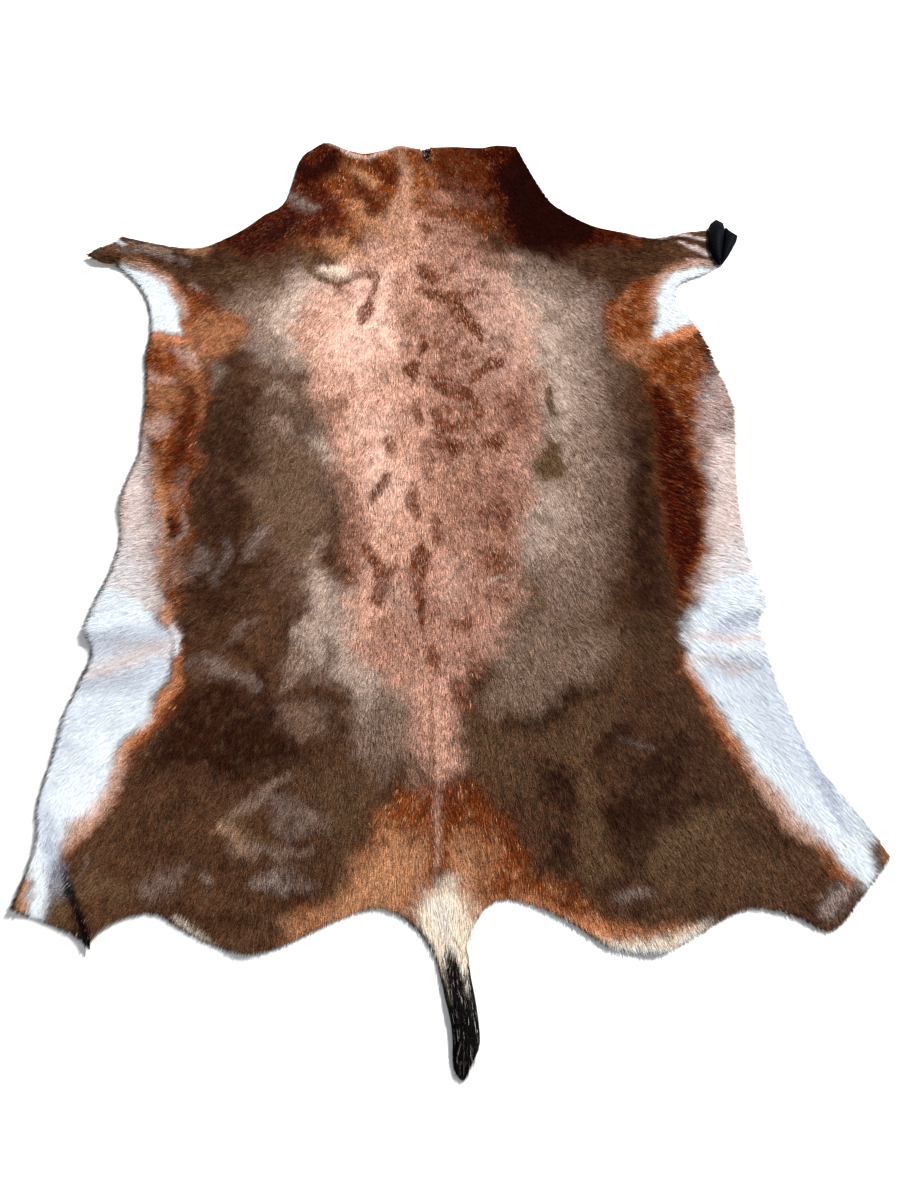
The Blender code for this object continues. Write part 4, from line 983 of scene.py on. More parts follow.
def place_shape(name, shape):
    """A new object from a bmesh, which it frees."""
    mesh = bpy.data.meshes.new(name)
    shape.to_mesh(mesh)
    shape.free()
    return place_object(name, mesh)


def mesh_object(name, points, faces, face_size):
    """A new object from arrays of points, in metres, and of faces that all have as many corners."""
    mesh = bpy.data.meshes.new(name)
    mesh.vertices.add(len(points))
    mesh.vertices.foreach_set("co", np.asarray(points, np.float32).ravel())
    mesh.loops.add(faces.size)
    mesh.loops.foreach_set("vertex_index", faces.astype(np.int32).ravel())
    mesh.polygons.add(len(faces))
    mesh.polygons.foreach_set("loop_start", np.arange(0, faces.size, face_size, dtype=np.int32))
    mesh.update(calc_edges=True)
    return place_object(name, mesh)


def mesh_points(mesh):
    """A mesh's points in metres, as rows of three."""
    points = np.empty(len(mesh.vertices) * 3, np.float32)
    mesh.vertices.foreach_get("co", points)
    return points.reshape(-1, 3)


def apply_modifiers(piece):
    """Replaces a piece's mesh with the one that its modifiers give."""
    seen = bpy.context.evaluated_depsgraph_get()
    seen.update()
    made = bpy.data.meshes.new_from_object(piece.evaluated_get(seen))
    piece.modifiers.clear()
    piece.data = made


def add_plan_map(mesh):
    """Gives each corner its place as seen from above, with the mesh's box as the whole map."""
    plan = mesh_points(mesh)[:, :2]
    low, high = plan.min(0), plan.max(0)
    corners = np.empty(len(mesh.loops), np.int32)
    mesh.loops.foreach_get("vertex_index", corners)
    places = ((plan - low) / (high - low))[corners]
    mesh.uv_layers.new(name=PLAN_MAP).uv.foreach_set("vector", places.astype(np.float32).ravel())


MARK_SETS = math.ceil(len(LAYERS) / 4)


def add_marks(mesh, share, domain):
    """Stores the coat's layers in colour attributes, four to each."""
    layers = np.zeros((MARK_SETS * 4, share.shape[1]), np.float32)
    layers[: len(share)] = share
    for k in range(MARK_SETS):
        values = layers[4 * k : 4 * k + 4].T
        stored = mesh.attributes.new(f"marks_{k + 1}", "FLOAT_COLOR", domain).data
        stored.foreach_set("color", values.ravel())


def add_values(mesh, name, values):
    """Stores one vector for each point of a mesh."""
    stored = mesh.attributes.new(name, "FLOAT_VECTOR", "POINT").data
    stored.foreach_set("vector", values.astype(np.float32).ravel())


# Coat
COAT_PARTS = ("coat_neck", "coat_shoulders", "coat_back", "coat_rump")
ROOT_DEPTH = 3.2  # how deep inside the outline the outermost roots stand
ROOT_SUNK = 0.3  # how far a root reaches into the skin
ROOT_JITTER = 0.6  # how far a root may be from its place in the rows, in spacings
BARE = (0.2, 1.2)  # how bare the skin is where the first and the last hairs are missing
OVERHANG = (-2.0, 3.4)  # the least and the most that a tip may pass the outline
CUT_MOST = 0.9  # the largest share of a hair that is cut off at the outline
LEAST_HEIGHT = 0.1  # of a hair over the floor
STREAK = 1.6  # the width of the tufts whose hairs have nearly the same tone
TUFTS = ((1, STREAK, 14), (0.5, 2 * STREAK, 15))  # strength, pitch and seed
TUFT_TONE = 0.3
HAIR_TONE = 0.26
SWIRLS = ((13, 42, 11), (9, 11, 12), (7, 4, 13))  # degrees, pitch and seed
WAY_SPREAD = 6  # degrees
ROLL_SPREAD = 24  # degrees
LIES = (0.5, 1.5)  # the least and the most, as shares of the panel's value
LENGTHS = (0.75, 1.25)
WIDTHS = (0.7, 1.3)
SHOWN = 0.55  # how far along a hair the part is that takes its colour from the pattern
ASTRAY = 1.0  # how far a hair may take its colour from
# Among the hairs of one layer, a few have the colour of another.
ODD_SEEN = 0.4  # how much a hair has to show of its own layer to be one of them
ODD_KEPT = 0.2  # how much of its own layer it keeps
ODD_SHARE = 0.85  # how much of the other it gets
Odd = namedtuple("Odd", "layer among chance")
ODD_HAIRS = [
    Odd("lilac", "black", 0.05), Odd("white", "black", 0.02), Odd("black", "cream", 0.02),
    Odd("tan", "cream", 0.08), Odd("soot", "grey", 0.14), Odd("blotch", "saddle", 0.12),
    Odd("tan", "rust", 0.05), Odd("rust", "maroon", 0.15), Odd("blotch", "fringe", 0.08),
    Odd("saddle", "blotch", 0.16),
]


def comb_coat(look, ground):
    """Every hair's root, tip and side in millimetres, the layers' shares there and its own tone."""
    rng = np.random.default_rng(look.seed)
    pitch = look.spacing / MM
    x, y = np.meshgrid(np.arange(GRID_X[0], GRID_X[-1], pitch), np.arange(GRID_Y[0], GRID_Y[-1], pitch))
    x = x.ravel() + rng.uniform(-ROOT_JITTER, ROOT_JITTER, x.size) * pitch
    y = y.ravel() + rng.uniform(-ROOT_JITTER, ROOT_JITTER, y.size) * pitch
    depth = read_grid(ground.depth, x, y)
    bare = read_grid(ground.share[LAYER_INDEX["rim"]], x, y)
    keep = (depth > ROOT_DEPTH) & (bare < rng.uniform(*BARE, x.size))
    x, y, depth = x[keep], y[keep], depth[keep]
    tuft = noise_sum(x, y, TUFTS)
    chance = np.clip(0.5 + TUFT_TONE * tuft + rng.normal(0, HAIR_TONE, x.size), 0, 1)
    swirl = noise_sum(x, y, SWIRLS)
    way = np.arctan2(read_grid(ground.north, x, y), read_grid(ground.east, x, y))
    way += np.radians(swirl + rng.normal(0, WAY_SPREAD, x.size))
    lie = np.radians(look.lie_degrees * rng.uniform(*LIES, x.size))
    length = look.length * read_grid(ground.length, x, y) * rng.uniform(*LENGTHS, x.size)
    step_x, step_y = np.cos(way), np.sin(way)
    over = rng.uniform(*OVERHANG, x.size)
    passed = -over - read_grid(ground.depth, x + length * step_x, y + length * step_y)
    cut = np.clip(passed / np.maximum(depth + over + passed, 1), 0, CUT_MOST)
    length = length * (1 - np.where(passed > 0, cut, 0))
    tip_x, tip_y = x + length * step_x, y + length * step_y
    roots = np.stack([x, y, read_grid(ground.height, x, y) - ROOT_SUNK], 1)
    tips = np.stack([tip_x, tip_y, read_grid(ground.height, tip_x, tip_y) + length * np.sin(lie)], 1)
    wide = look.width / MM * rng.uniform(*WIDTHS, x.size) / 2
    roll = np.radians(rng.normal(0, ROLL_SPREAD, x.size))
    sides = np.stack([-step_y * wide * np.cos(roll), step_x * wide * np.cos(roll), wide * np.sin(roll)], 1)
    astray = rng.normal(0, ASTRAY, (2, x.size)) * (1 + (y < TAIL_ROOT))
    shown = SHOWN * length
    share = read_grid(ground.share, x + shown * step_x + astray[0], y + shown * step_y + astray[1])
    mix_odd_hairs(share, rng)
    return roots, tips, sides, share, chance


def mix_odd_hairs(share, rng):
    """Gives a few columns of the layers' shares the colour of another layer."""
    for odd in ODD_HAIRS:
        k = LAYER_INDEX[odd.among]
        shown = share[k] * np.prod(1 - share[k + 1:], 0)
        picked = (rng.uniform(0, 1, share.shape[1]) < odd.chance) & (shown > ODD_SEEN)
        share[k:, picked] *= ODD_KEPT
        share[LAYER_INDEX[odd.layer], picked] = ODD_SHARE


def make_coat(look):
    """The short coat: flat pointed hairs that lie like thatch, in four joined meshes, neck to rump."""
    roots, tips, sides, share, chance = comb_coat(look, surveyed())
    order = np.argsort(-roots[:, 1], kind="stable")
    material = hair_material("coat hair", look)
    pieces = []
    for name, part in zip(COAT_PARTS, np.array_split(order, len(COAT_PARTS))):
        base, side = roots[part], sides[part]
        points = np.stack([base - side, tips[part], base + side], 1).reshape(-1, 3)
        points[:, 2] = np.maximum(points[:, 2], LEAST_HEIGHT)
        piece = mesh_object(name, points * MM, np.arange(len(points)).reshape(-1, 3), 3)
        add_marks(piece.data, share[:, part], "FACE")
        along = np.tile([0.0, 1.0, 0.0], len(part))
        add_values(piece.data, "strand", np.stack([along, np.repeat(chance[part], 3), along], 1))
        add_plan_map(piece.data)
        piece.data.materials.append(material)
        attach(piece, "root")
        pieces.append(piece)
    return pieces


# Skin
SHARP_EDGE = 40  # degrees


def inset_border(shape):
    """Moves a flat shape's border inward by the skin's inset."""
    inward = {}
    for vert in (v for v in shape.verts if v.is_boundary):
        pull = Vector((0, 0, 0))
        for rim in (e for e in vert.link_edges if e.is_boundary):
            run = rim.other_vert(vert).co - vert.co
            across = Vector((-run.y, run.x, 0)).normalized()
            middle = rim.link_faces[0].calc_center_median() - vert.co
            pull += across if across.dot(middle) > 0 else -across
        inward[vert] = pull.normalized() * SKIN_INSET * MM
    for vert, move in inward.items():
        vert.co += move


def skin_shape():
    """The CAD hide's underside, a little inside its edge and as thick as the skin."""
    shape = merged_node("hide")
    bmesh.ops.delete(shape, geom=[f for f in shape.faces if not is_underside(f)], context="FACES")
    inset_border(shape)
    bmesh.ops.subdivide_edges(shape, edges=shape.edges, cuts=1, use_grid_fill=True, smooth=0)
    raised = bmesh.ops.extrude_face_region(shape, geom=shape.faces[:])["geom"]
    for vert in raised:
        if isinstance(vert, bmesh.types.BMVert):
            vert.co.z += SKIN_THICK * MM
    bmesh.ops.recalc_face_normals(shape, faces=shape.faces)
    return shape


def make_skin(look):
    """The tanned skin under the coat: a thin sheet that follows the CAD hide's folds."""
    skin = place_shape("skin", skin_shape())
    mesh = skin.data
    mesh.shade_smooth()
    mesh.set_sharp_from_angle(angle=math.radians(SHARP_EDGE))
    points = mesh_points(mesh) / MM
    add_marks(mesh, read_grid(surveyed().share, points[:, 0], points[:, 1]), "POINT")
    add_plan_map(mesh)
    mesh.materials.append(undercoat_material(look))
    mesh.materials.append(suede_material(look))
    for face in mesh.polygons:
        face.material_index = 0 if face.normal.z > 0.5 else 1
    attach(skin, "root")
    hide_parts("hide")
    return skin


# Tail brush
STRAND_SIDES = 3
LAST_START = 0.3  # where the last strands begin, as a share of the way from the tail's root to its end
FIRST_END = 0.45  # where the first strands may end
LOWEST = 0.08  # the lowest strands' share of the brush's height
SIDE_SHARE = 0.04  # the least of the height's square that is left at the brush's sides
LEAST_LIFT = 0.6  # of a strand's middle over the floor
PINCH = 0.04  # by how much the strands draw together towards their tips
TAPER = 0.6  # the share of its width that a strand loses towards its tip


def grow_strands(look, rng):
    """The strands' corners in millimetres, as an array by strand, ring corner and axis."""
    stations = brush_sections()
    rows = np.arange(len(stations))
    start = rng.uniform(0, LAST_START, look.strands)
    end = np.clip(rng.beta(6, 1, look.strands) * 1.1, FIRST_END, 1.0)
    across = rng.uniform(-1, 1, look.strands)
    high = rng.uniform(LOWEST, 1, look.strands)
    rings = []
    for step in np.linspace(0, 1, look.joints):
        at = np.clip(start + (end - start) * step, 0, 1) * (len(stations) - 1)
        y, left, right, top = (np.interp(at, rows, column) for column in stations.T)
        pinch = 1 - PINCH * step
        sway = value_noise(across * 300, y, 25, 21) * 0.25 + value_noise(high * 400, y * 1.5, 18, 22) * 0.15
        reach = np.clip(across * pinch + sway * step, -1, 1)
        x = (left + right) / 2 + reach * (right - left) / 2
        z = np.maximum(high * top * np.sqrt(np.maximum(1 - reach**2, SIDE_SHARE)), LEAST_LIFT)
        thick = look.width / MM * (1 - TAPER * step**2)
        for turn in range(STRAND_SIDES):
            angle = math.radians(90 + 360 / STRAND_SIDES * turn)
            rings.append(np.stack([x + math.cos(angle) * thick / 2, y, z + math.sin(angle) * thick / 2], 1))
    return np.stack(rings, 1)


def strand_faces(strands, rings):
    """Two triangles between each pair of neighbouring ring corners, for all the strands."""
    faces = []
    for ring in range(rings - 1):
        for turn in range(STRAND_SIDES):
            a = STRAND_SIDES * ring + turn
            b = STRAND_SIDES * ring + (turn + 1) % STRAND_SIDES
            faces += [(b + STRAND_SIDES, b, a), (a + STRAND_SIDES, b + STRAND_SIDES, a)]
    firsts = np.arange(strands) * rings * STRAND_SIDES
    return (firsts[:, None, None] + np.array(faces)).reshape(-1, 3)


def make_tail_brush(look):
    """The tail's long hair: tapering three-sided strands that fill the CAD brush and end unevenly. They
    begin under the short hair of the tail's root and take its colours."""
    rng = np.random.default_rng(look.seed)
    points = grow_strands(look, rng)
    count, corners = points.shape[:2]
    brush = mesh_object("tail_strands", points.reshape(-1, 3) * MM, strand_faces(count, look.joints), 3)
    along = np.tile(np.repeat(np.linspace(0, 1, look.joints), STRAND_SIDES), count)
    chance = np.repeat(rng.uniform(0, 1, count), corners)
    middles = points[:, corners // 2, :2].T + rng.normal(0, 2 * ASTRAY, (2, count))
    share = read_grid(surveyed().share, *middles)
    mix_odd_hairs(share, rng)
    add_marks(brush.data, np.repeat(share, corners, 1), "POINT")
    add_values(brush.data, "strand", np.stack([along, chance, along], 1))
    add_plan_map(brush.data)
    brush.data.shade_smooth()
    brush.data.materials.append(hair_material("tail hair", look))
    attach(brush, "root")
    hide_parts("tail_brush")
    return brush


# Claws
CLAW_ROUNDING = 0.9
CLAW_EDGE = 35  # degrees, from which an edge is rounded


def make_claws(look):
    """The two horny claws of the right foreleg, with their CAD forms and softly rounded edges."""
    material = horn_material(look)
    for node in ("claw_inner", "claw_outer"):
        claw = place_shape(node + "_horn", merged_node(node))
        bevel = claw.modifiers.new("Rounding", "BEVEL")
        bevel.width = CLAW_ROUNDING * MM
        bevel.segments = 3
        bevel.angle_limit = math.radians(CLAW_EDGE)
        bevel.harden_normals = False
        apply_modifiers(claw)
        claw.data.shade_smooth()
        claw.data.materials.append(material)
        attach(claw, "root")
        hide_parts(node)


# Node groups
def new_group(name, inputs, outputs):
    """A node group with its sockets, given as rows of name and kind, and its two ends."""
    group = bpy.data.node_groups.new(name, "ShaderNodeTree")
    for way, rows in (("INPUT", inputs), ("OUTPUT", outputs)):
        for socket, kind in rows:
            group.interface.new_socket(socket, in_out=way, socket_type="NodeSocket" + kind)
    return group, group.nodes.new("NodeGroupInput"), group.nodes.new("NodeGroupOutput")


def place_group(tree, group, **values):
    """Puts a group into a tree with its own values."""
    node = tree.nodes.new("ShaderNodeGroup")
    node.node_tree = group
    for name, value in values.items():
        node.inputs[name.replace("_", " ")].default_value = value
    return node


def rgba(colour):
    """A colour with full alpha."""
    return (*colour, 1.0)


def feed(tree, socket, value):
    """Sets a socket to a number, or links another socket to it."""
    if isinstance(value, (int, float)):
        socket.default_value = value
    else:
        tree.links.new(value, socket)


def mix_node(tree):
    """A Mix node for colours, as its factor, its two inputs and its output."""
    node = tree.nodes.new("ShaderNodeMix")
    node.data_type = "RGBA"
    return SimpleNamespace(factor=node.inputs[0], a=node.inputs[6], b=node.inputs[7], out=node.outputs[2])


def math_node(tree, operation, first, second):
    """A Math node with its inputs linked or set, and its output."""
    node = tree.nodes.new("ShaderNodeMath")
    node.operation = operation
    feed(tree, node.inputs[0], first)
    feed(tree, node.inputs[1], second)
    return node.outputs[0]


def noise_mask(tree, scale, detail):
    """A Noise texture in the object's own metres, as its mask."""
    place = tree.nodes.new("ShaderNodeTexCoord")
    noise = tree.nodes.new("ShaderNodeTexNoise")
    feed(tree, noise.inputs["Vector"], place.outputs["Object"])
    feed(tree, noise.inputs["Scale"], scale)
    feed(tree, noise.inputs["Detail"], detail)
    return noise.outputs["Fac"]


def coat_colour_group():
    """Lays the coat's colours over each other by their shares."""
    rows = [("ground", "Color")]
    for layer in LAYERS:
        rows += [(layer.name, "Color"), (layer.name + " share", "Float")]
    group, start, end = new_group("coat colour", rows, [("Colour", "Color")])
    colour = start.outputs["ground"]
    for layer in LAYERS:
        mix = mix_node(group)
        group.links.new(start.outputs[layer.name + " share"], mix.factor)
        group.links.new(colour, mix.a)
        group.links.new(start.outputs[layer.name], mix.b)
        colour = mix.out
    group.links.new(colour, end.inputs["Colour"])
    return group


GLINT_SCALE = 750
PALE_LEAST = 0.1  # the least that a pale hair's tone varies
DARKEST = 0.2


def strand_tone_group():
    """Varies a hair's colour from strand to strand, root to tip and clump to clump, less on pale hair."""
    inputs = [("Colour", "Color"), ("Along", "Float"), ("Chance", "Float"), ("Contrast", "Float"),
              ("Root dark", "Float"), ("Clump", "Float"), ("Clump size", "Float"), ("Glint", "Float")]
    group, start, end = new_group("strand tone", inputs, [("Colour", "Color"), ("Value", "Float")])
    get = start.outputs

    def plus(first, second):
        return math_node(group, "ADD", first, second)

    def minus(first, second):
        return math_node(group, "SUBTRACT", first, second)

    def times(first, second):
        return math_node(group, "MULTIPLY", first, second)

    clumps = noise_mask(group, math_node(group, "DIVIDE", 1.0, get["Clump size"]), 3)
    glints = noise_mask(group, GLINT_SCALE, 1)
    grey = group.nodes.new("ShaderNodeRGBToBW")
    group.links.new(get["Colour"], grey.inputs["Color"])
    depth = math_node(group, "MAXIMUM", minus(1.0, times(grey.outputs["Val"], 1.25)), PALE_LEAST)
    by_strand = times(minus(get["Chance"], 0.5), times(depth, times(get["Contrast"], 2.0)))
    clump = plus(times(minus(clumps, 0.5), get["Clump"]), times(minus(glints, 0.5), get["Glint"]))
    root = times(times(minus(1.0, get["Along"]), get["Root dark"]), depth)
    value = times(plus(plus(by_strand, times(clump, depth)), 1.0), minus(1.0, root))
    value = math_node(group, "MAXIMUM", value, DARKEST)
    tone = group.nodes.new("ShaderNodeHueSaturation")
    group.links.new(get["Colour"], tone.inputs["Color"])
    group.links.new(value, tone.inputs["Value"])
    group.links.new(tone.outputs["Color"], end.inputs["Colour"])
    group.links.new(value, end.inputs["Value"])
    return group


def grain_group():
    """A fine uneven grain, as a mask."""
    group, start, end = new_group("grain", [("Size", "Float"), ("Detail", "Float")], [("Mask", "Float")])
    scale = math_node(group, "DIVIDE", 1.0, start.outputs["Size"])
    group.links.new(noise_mask(group, scale, start.outputs["Detail"]), end.inputs["Mask"])
    return group


GROUPS = {"coat colour": coat_colour_group, "strand tone": strand_tone_group, "grain": grain_group}


def shared(name):
    """One of the node groups, made the first time it is asked for."""
    return bpy.data.node_groups.get(name) or GROUPS[name]()


# Materials
def new_material(name, roughness, specular):
    """A material with its tree and its Principled shader."""
    material = bpy.data.materials.new(name)
    material.use_nodes = True
    shader = material.node_tree.nodes["Principled BSDF"]
    shader.inputs["Roughness"].default_value = roughness
    shader.inputs["Specular IOR Level"].default_value = specular
    return material, material.node_tree, shader


def grain_mask(tree, size, detail):
    """The grain group's mask, with grains of about this size in metres."""
    return place_group(tree, shared("grain"), Size=size, Detail=detail).outputs["Mask"]


def add_two_tones(tree, shader, first, second, mask):
    """Colours a shader with the second colour over the first as far as the mask says."""
    mix = mix_node(tree)
    mix.a.default_value = rgba(first)
    mix.b.default_value = rgba(second)
    tree.links.new(mask, mix.factor)
    tree.links.new(mix.out, shader.inputs["Base Color"])


def add_bump(tree, shader, height, distance, strength=1.0):
    """Raises a shader's surface by a height of up to distance in metres."""
    bump = tree.nodes.new("ShaderNodeBump")
    bump.inputs["Distance"].default_value = distance
    bump.inputs["Strength"].default_value = strength
    tree.links.new(height, bump.inputs["Height"])
    tree.links.new(bump.outputs["Normal"], shader.inputs["Normal"])


def darker(colour, share):
    """A colour at this share of its brightness."""
    return tuple(share * c for c in colour)


def coat_colour(tree):
    """The coat's colour at each place, from its marks and the colours that the panel gives."""
    colours = bpy.context.scene.hide_colours
    node = place_group(tree, shared("coat colour"), ground=rgba(colours.ground))
    for k in range(MARK_SETS):
        marks = tree.nodes.new("ShaderNodeAttribute")
        marks.attribute_name = f"marks_{k + 1}"
        parts = tree.nodes.new("ShaderNodeSeparateColor")
        tree.links.new(marks.outputs["Color"], parts.inputs["Color"])
        for layer, share in zip(LAYERS[4 * k : 4 * k + 4], (*parts.outputs, marks.outputs["Alpha"])):
            node.inputs[layer.name].default_value = rgba(getattr(colours, layer.name))
            tree.links.new(share, node.inputs[layer.name + " share"])
    return node.outputs["Colour"]


def strand_values(tree):
    """How far along its strand a place is, and that strand's own chance."""
    values = tree.nodes.new("ShaderNodeAttribute")
    values.attribute_name = "strand"
    parts = tree.nodes.new("ShaderNodeSeparateXYZ")
    tree.links.new(values.outputs["Vector"], parts.inputs[0])
    return parts.outputs["X"], parts.outputs["Y"]


def hair_material(name, look):
    """Hair in the coat's colours."""
    material, tree, shader = new_material(name, look.roughness, specular=0.03)
    along, chance = strand_values(tree)
    tone = place_group(tree, shared("strand tone"), Contrast=look.contrast, Root_dark=0.45, Clump=0.5,
                       Clump_size=0.006, Glint=5.0)
    tree.links.new(coat_colour(tree), tone.inputs["Colour"])
    tree.links.new(along, tone.inputs["Along"])
    tree.links.new(chance, tone.inputs["Chance"])
    tree.links.new(tone.outputs["Colour"], shader.inputs["Base Color"])
    return material


def undercoat_material(look):
    """The skin's hairy face as it shows between the hairs, in the coat's colours but darker."""
    material, tree, shader = new_material("undercoat", roughness=0.8, specular=0.02)
    grain = grain_mask(tree, size=0.0015, detail=3.0)
    tone = place_group(tree, shared("strand tone"), Along=1.0, Contrast=0.3, Root_dark=0.0, Clump=0.4,
                       Clump_size=0.006)
    darken = tree.nodes.new("ShaderNodeHueSaturation")
    darken.inputs["Value"].default_value = look.under_shade
    tree.links.new(coat_colour(tree), tone.inputs["Colour"])
    tree.links.new(grain, tone.inputs["Chance"])
    tree.links.new(tone.outputs["Colour"], darken.inputs["Color"])
    tree.links.new(darken.outputs["Color"], shader.inputs["Base Color"])
    add_bump(tree, shader, grain, distance=0.0006)
    return material


def suede_material(look):
    """The flesh side and the cut edge: pale tanned suede with a soft nap."""
    material, tree, shader = new_material("suede", roughness=0.9, specular=0.15)
    shader.inputs["Sheen Weight"].default_value = 0.3
    clouds = grain_mask(tree, size=0.06, detail=2.0)
    add_two_tones(tree, shader, look.suede, darker(look.suede, 0.72), clouds)
    add_bump(tree, shader, grain_mask(tree, size=0.0012, detail=4.0), distance=0.0004)
    return material


def horn_material(look):
    """Dull black horn with faint growth rings."""
    material, tree, shader = new_material("horn", roughness=0.5, specular=0.01)
    place = tree.nodes.new("ShaderNodeTexCoord")
    rings = tree.nodes.new("ShaderNodeTexWave")
    rings.bands_direction = "Y"
    rings.inputs["Scale"].default_value = 60
    rings.inputs["Distortion"].default_value = 3
    tree.links.new(place.outputs["Object"], rings.inputs["Vector"])
    clouds = grain_mask(tree, size=0.004, detail=3.0)
    add_two_tones(tree, shader, look.horn, look.horn_light, clouds)
    add_bump(tree, shader, rings.outputs["Fac"], distance=0.0003, strength=0.4)
    return material


# Stage
CAMERA_PLACE = (-0.0076, -0.4966, 1.19)
CAMERA_TURN = (19.0, 0.0, -2.3)  # degrees
CAMERA_LENS = 30  # millimetres
FLOOR_DROP = 0.0002  # how far the floor is under the hide, in metres
SKY_COLOUR = (0.93, 0.96, 1.0)


def add_light(name, place, size, watts, colour):
    """A soft square light that faces the hide's middle."""
    data = bpy.data.lights.new(name, "AREA")
    data.size = size
    data.energy = watts
    data.color = colour
    light = place_object(name, data)
    light.location = place
    light.rotation_euler = (-Vector(place)).to_track_quat("-Z", "Y").to_euler()


def make_stage(look):
    """A pale floor, a soft key light from the top right, a fill light, an even sky and the camera."""
    scene = bpy.context.scene
    half = look.floor_size / 2
    corners = [(x * half, y * half, -FLOOR_DROP) for x, y in ((-1, -1), (1, -1), (1, 1), (-1, 1))]
    floor = mesh_object("floor", np.array(corners), np.arange(4).reshape(1, 4), 4)
    material, tree, shader = new_material("floor", roughness=0.9, specular=0.1)
    clouds = grain_mask(tree, size=0.4, detail=2.0)
    add_two_tones(tree, shader, look.floor, darker(look.floor, 0.97), clouds)
    floor.data.materials.append(material)
    add_light("key", (1.9, 1.7, 2.3), size=0.22, watts=look.key_watts, colour=(1.0, 0.98, 0.96))
    add_light("fill", (-1.6, -0.9, 1.7), size=2.2, watts=look.fill_watts, colour=SKY_COLOUR)
    world = bpy.data.worlds.new("sky")
    world.use_nodes = True
    sky = world.node_tree.nodes["Background"]
    sky.inputs["Color"].default_value = rgba(SKY_COLOUR)
    sky.inputs["Strength"].default_value = look.sky
    scene.world = world
    camera = place_object("camera", bpy.data.cameras.new("camera"))
    camera.data.lens = CAMERA_LENS
    camera.location = CAMERA_PLACE
    camera.rotation_euler = [math.radians(turn) for turn in CAMERA_TURN]
    scene.camera = camera
    scene.view_settings.view_transform = "Standard"


# Settings
def colour_setting(name, note, default):
    """A colour in the panel."""
    return FloatVectorProperty(name=name, description=note, default=default, subtype="COLOR", size=3,
                               min=0, max=1)


class HideColours(PropertyGroup):
    """The coat's colours, from the ground up."""

    __annotations__ = {
        layer.name: colour_setting(layer.name.capitalize(), layer.note, shade(*layer.colour))
        for layer in [Layer("ground", GROUND, "Deep brown under every mark"), *LAYERS]
    }


class HideCoatLook(PropertyGroup):
    """The coat's hairs."""

    spacing: FloatProperty(name="Spacing", description="Between the roots", default=0.00106, min=0.0009,
                           precision=5, subtype="DISTANCE", unit="LENGTH")
    width: FloatProperty(name="Width", description="Of a hair at its root", default=0.0011, min=0.0003,
                         precision=5, subtype="DISTANCE", unit="LENGTH")
    length: FloatProperty(name="Length", description="Beside the table's lengths", default=0.78, min=0.1)
    lie_degrees: FloatProperty(name="Lie", description="Degrees between hair and skin", default=9.0, min=0)
    roughness: FloatProperty(name="Roughness", description="Of the hairs", default=0.5, min=0, max=1)
    contrast: FloatProperty(name="Contrast", description="From one hair to the next", default=0.95,
                            min=0, max=1)
    seed: IntProperty(name="Seed", description="Of the hairs' unevenness", default=7)


class HideSkinLook(PropertyGroup):
    """The tanned skin."""

    under_shade: FloatProperty(name="Undercoat", description="How bright the roots are beside the coat",
                               default=0.6, min=0, max=1)
    suede: colour_setting("Suede", "The flesh side and the cut edge", shade(214, 190, 160))


class HideTailLook(PropertyGroup):
    """The tail's brush."""

    strands: IntProperty(name="Strands", description="How many", default=1900, min=100)
    joints: IntProperty(name="Joints", description="Rings along each strand", default=8, min=3)
    width: FloatProperty(name="Width", description="Of a strand at its root", default=0.0009, min=0.0003,
                         precision=5, subtype="DISTANCE", unit="LENGTH")
    seed: IntProperty(name="Seed", description="Of the strands' unevenness", default=5)
    roughness: FloatProperty(name="Roughness", description="Of the strands", default=0.36, min=0, max=1)
    contrast: FloatProperty(name="Contrast", description="From one strand to the next", default=0.5,
                            min=0, max=1)


class HideClawLook(PropertyGroup):
    """The claws' horn."""

    horn: colour_setting("Horn", "Its main colour", shade(4, 4, 5))
    horn_light: colour_setting("Light horn", "Its faint lighter clouds", shade(14, 16, 22))


class HideStageLook(PropertyGroup):
    """The floor and the lights."""

    floor: colour_setting("Floor", "Its paint", shade(246, 246, 246))
    floor_size: FloatProperty(name="Floor size", description="Its side", default=14.0, unit="LENGTH",
                              subtype="DISTANCE")
    key_watts: FloatProperty(name="Key", description="The key light's power", default=240.0, unit="POWER")
    fill_watts: FloatProperty(name="Fill", description="The fill light's power", default=8.0, unit="POWER")
    sky: FloatProperty(name="Sky", description="The even light's strength", default=0.34, min=0)


SETTINGS = {
    "hide_colours": HideColours,
    "hide_coat": HideCoatLook,
    "hide_skin": HideSkinLook,
    "hide_tail": HideTailLook,
    "hide_claws": HideClawLook,
    "hide_stage": HideStageLook,
}


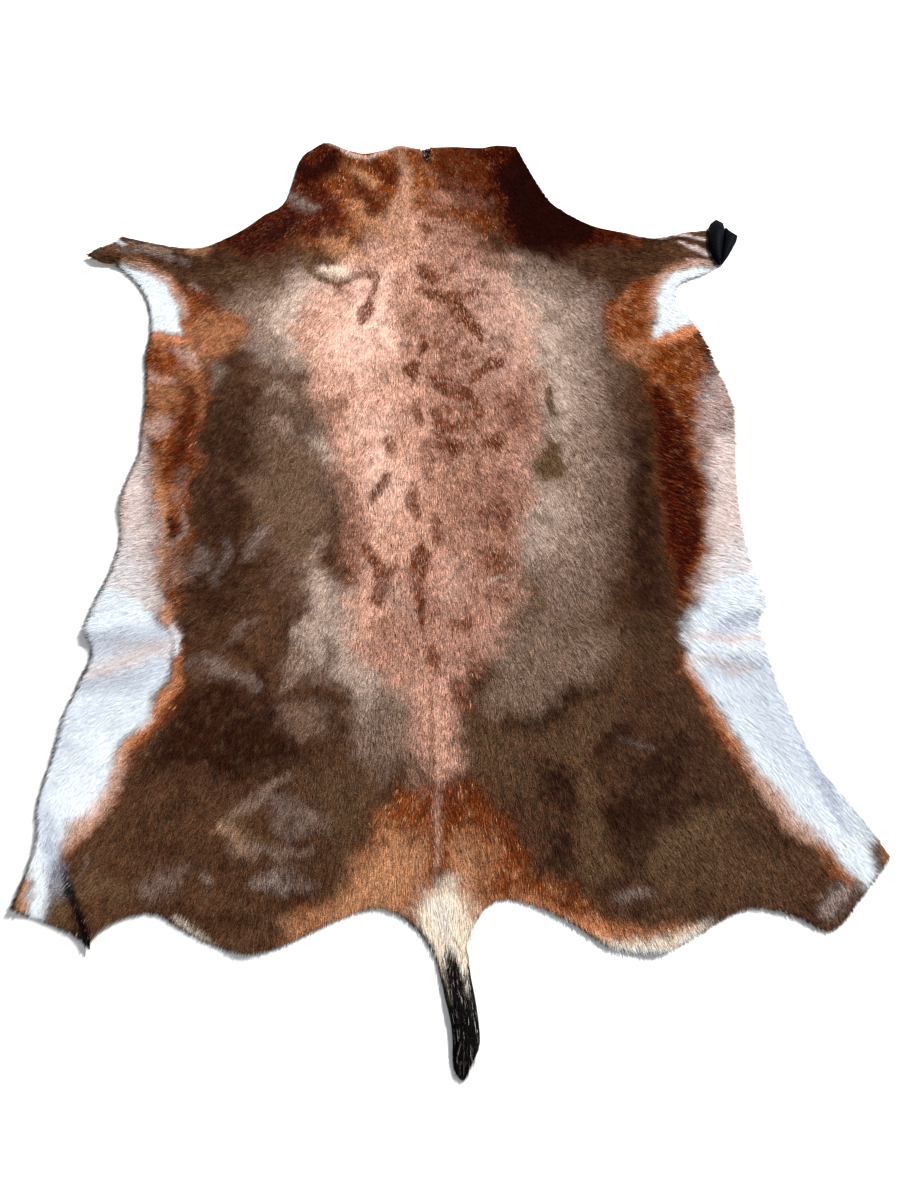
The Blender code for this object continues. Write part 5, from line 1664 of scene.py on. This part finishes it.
# Operators
class HideMakeCoat(Operator):
    """Combs the short coat and lays the skin under it"""

    bl_idname = "hide_rug.make_coat"
    bl_label = "Coat and Skin"

    def execute(self, context):
        coat = make_coat(context.scene.hide_coat)
        make_skin(context.scene.hide_skin)
        return {"FINISHED"}


class HideMakeTail(Operator):
    """Grows the tail's long black brush"""

    bl_idname = "hide_rug.make_tail"
    bl_label = "Tail Brush"

    def execute(self, context):
        make_tail_brush(context.scene.hide_tail)
        return {"FINISHED"}


class HideMakeClaws(Operator):
    """Smooths the two claws and gives them their horn"""

    bl_idname = "hide_rug.make_claws"
    bl_label = "Claws"

    def execute(self, context):
        make_claws(context.scene.hide_claws)
        return {"FINISHED"}


class HideMakeStage(Operator):
    """Sets the floor, the lights and the camera"""

    bl_idname = "hide_rug.make_stage"
    bl_label = "Stage"

    def execute(self, context):
        make_stage(context.scene.hide_stage)
        return {"FINISHED"}


class HidePanel(Panel):
    """Lists the hide's settings and its operators"""

    bl_idname = "VIEW3D_PT_hide_rug"
    bl_label = "Blesbok Hide"
    bl_space_type = "VIEW_3D"
    bl_region_type = "UI"
    bl_category = "Hide"

    def draw(self, context):
        for operator in OPERATORS:
            self.layout.operator(operator.bl_idname)
        for name, group in SETTINGS.items():
            box = self.layout.box()
            box.label(text=group.__doc__)
            for setting in group.__annotations__:
                box.prop(getattr(context.scene, name), setting)


OPERATORS = (HideMakeCoat, HideMakeTail, HideMakeClaws, HideMakeStage)


def register():
    for cls in (*SETTINGS.values(), *OPERATORS, HidePanel):
        bpy.utils.register_class(cls)
    for name, group in SETTINGS.items():
        setattr(bpy.types.Scene, name, PointerProperty(type=group))


def unregister():
    for name in SETTINGS:
        delattr(bpy.types.Scene, name)
    for cls in (HidePanel, *OPERATORS, *SETTINGS.values()):
        bpy.utils.unregister_class(cls)


def main():
    register()
    bpy.ops.hide_rug.make_coat()
    bpy.ops.hide_rug.make_tail()
    bpy.ops.hide_rug.make_claws()
    bpy.ops.hide_rug.make_stage()


if __name__ == "__main__":
    main()
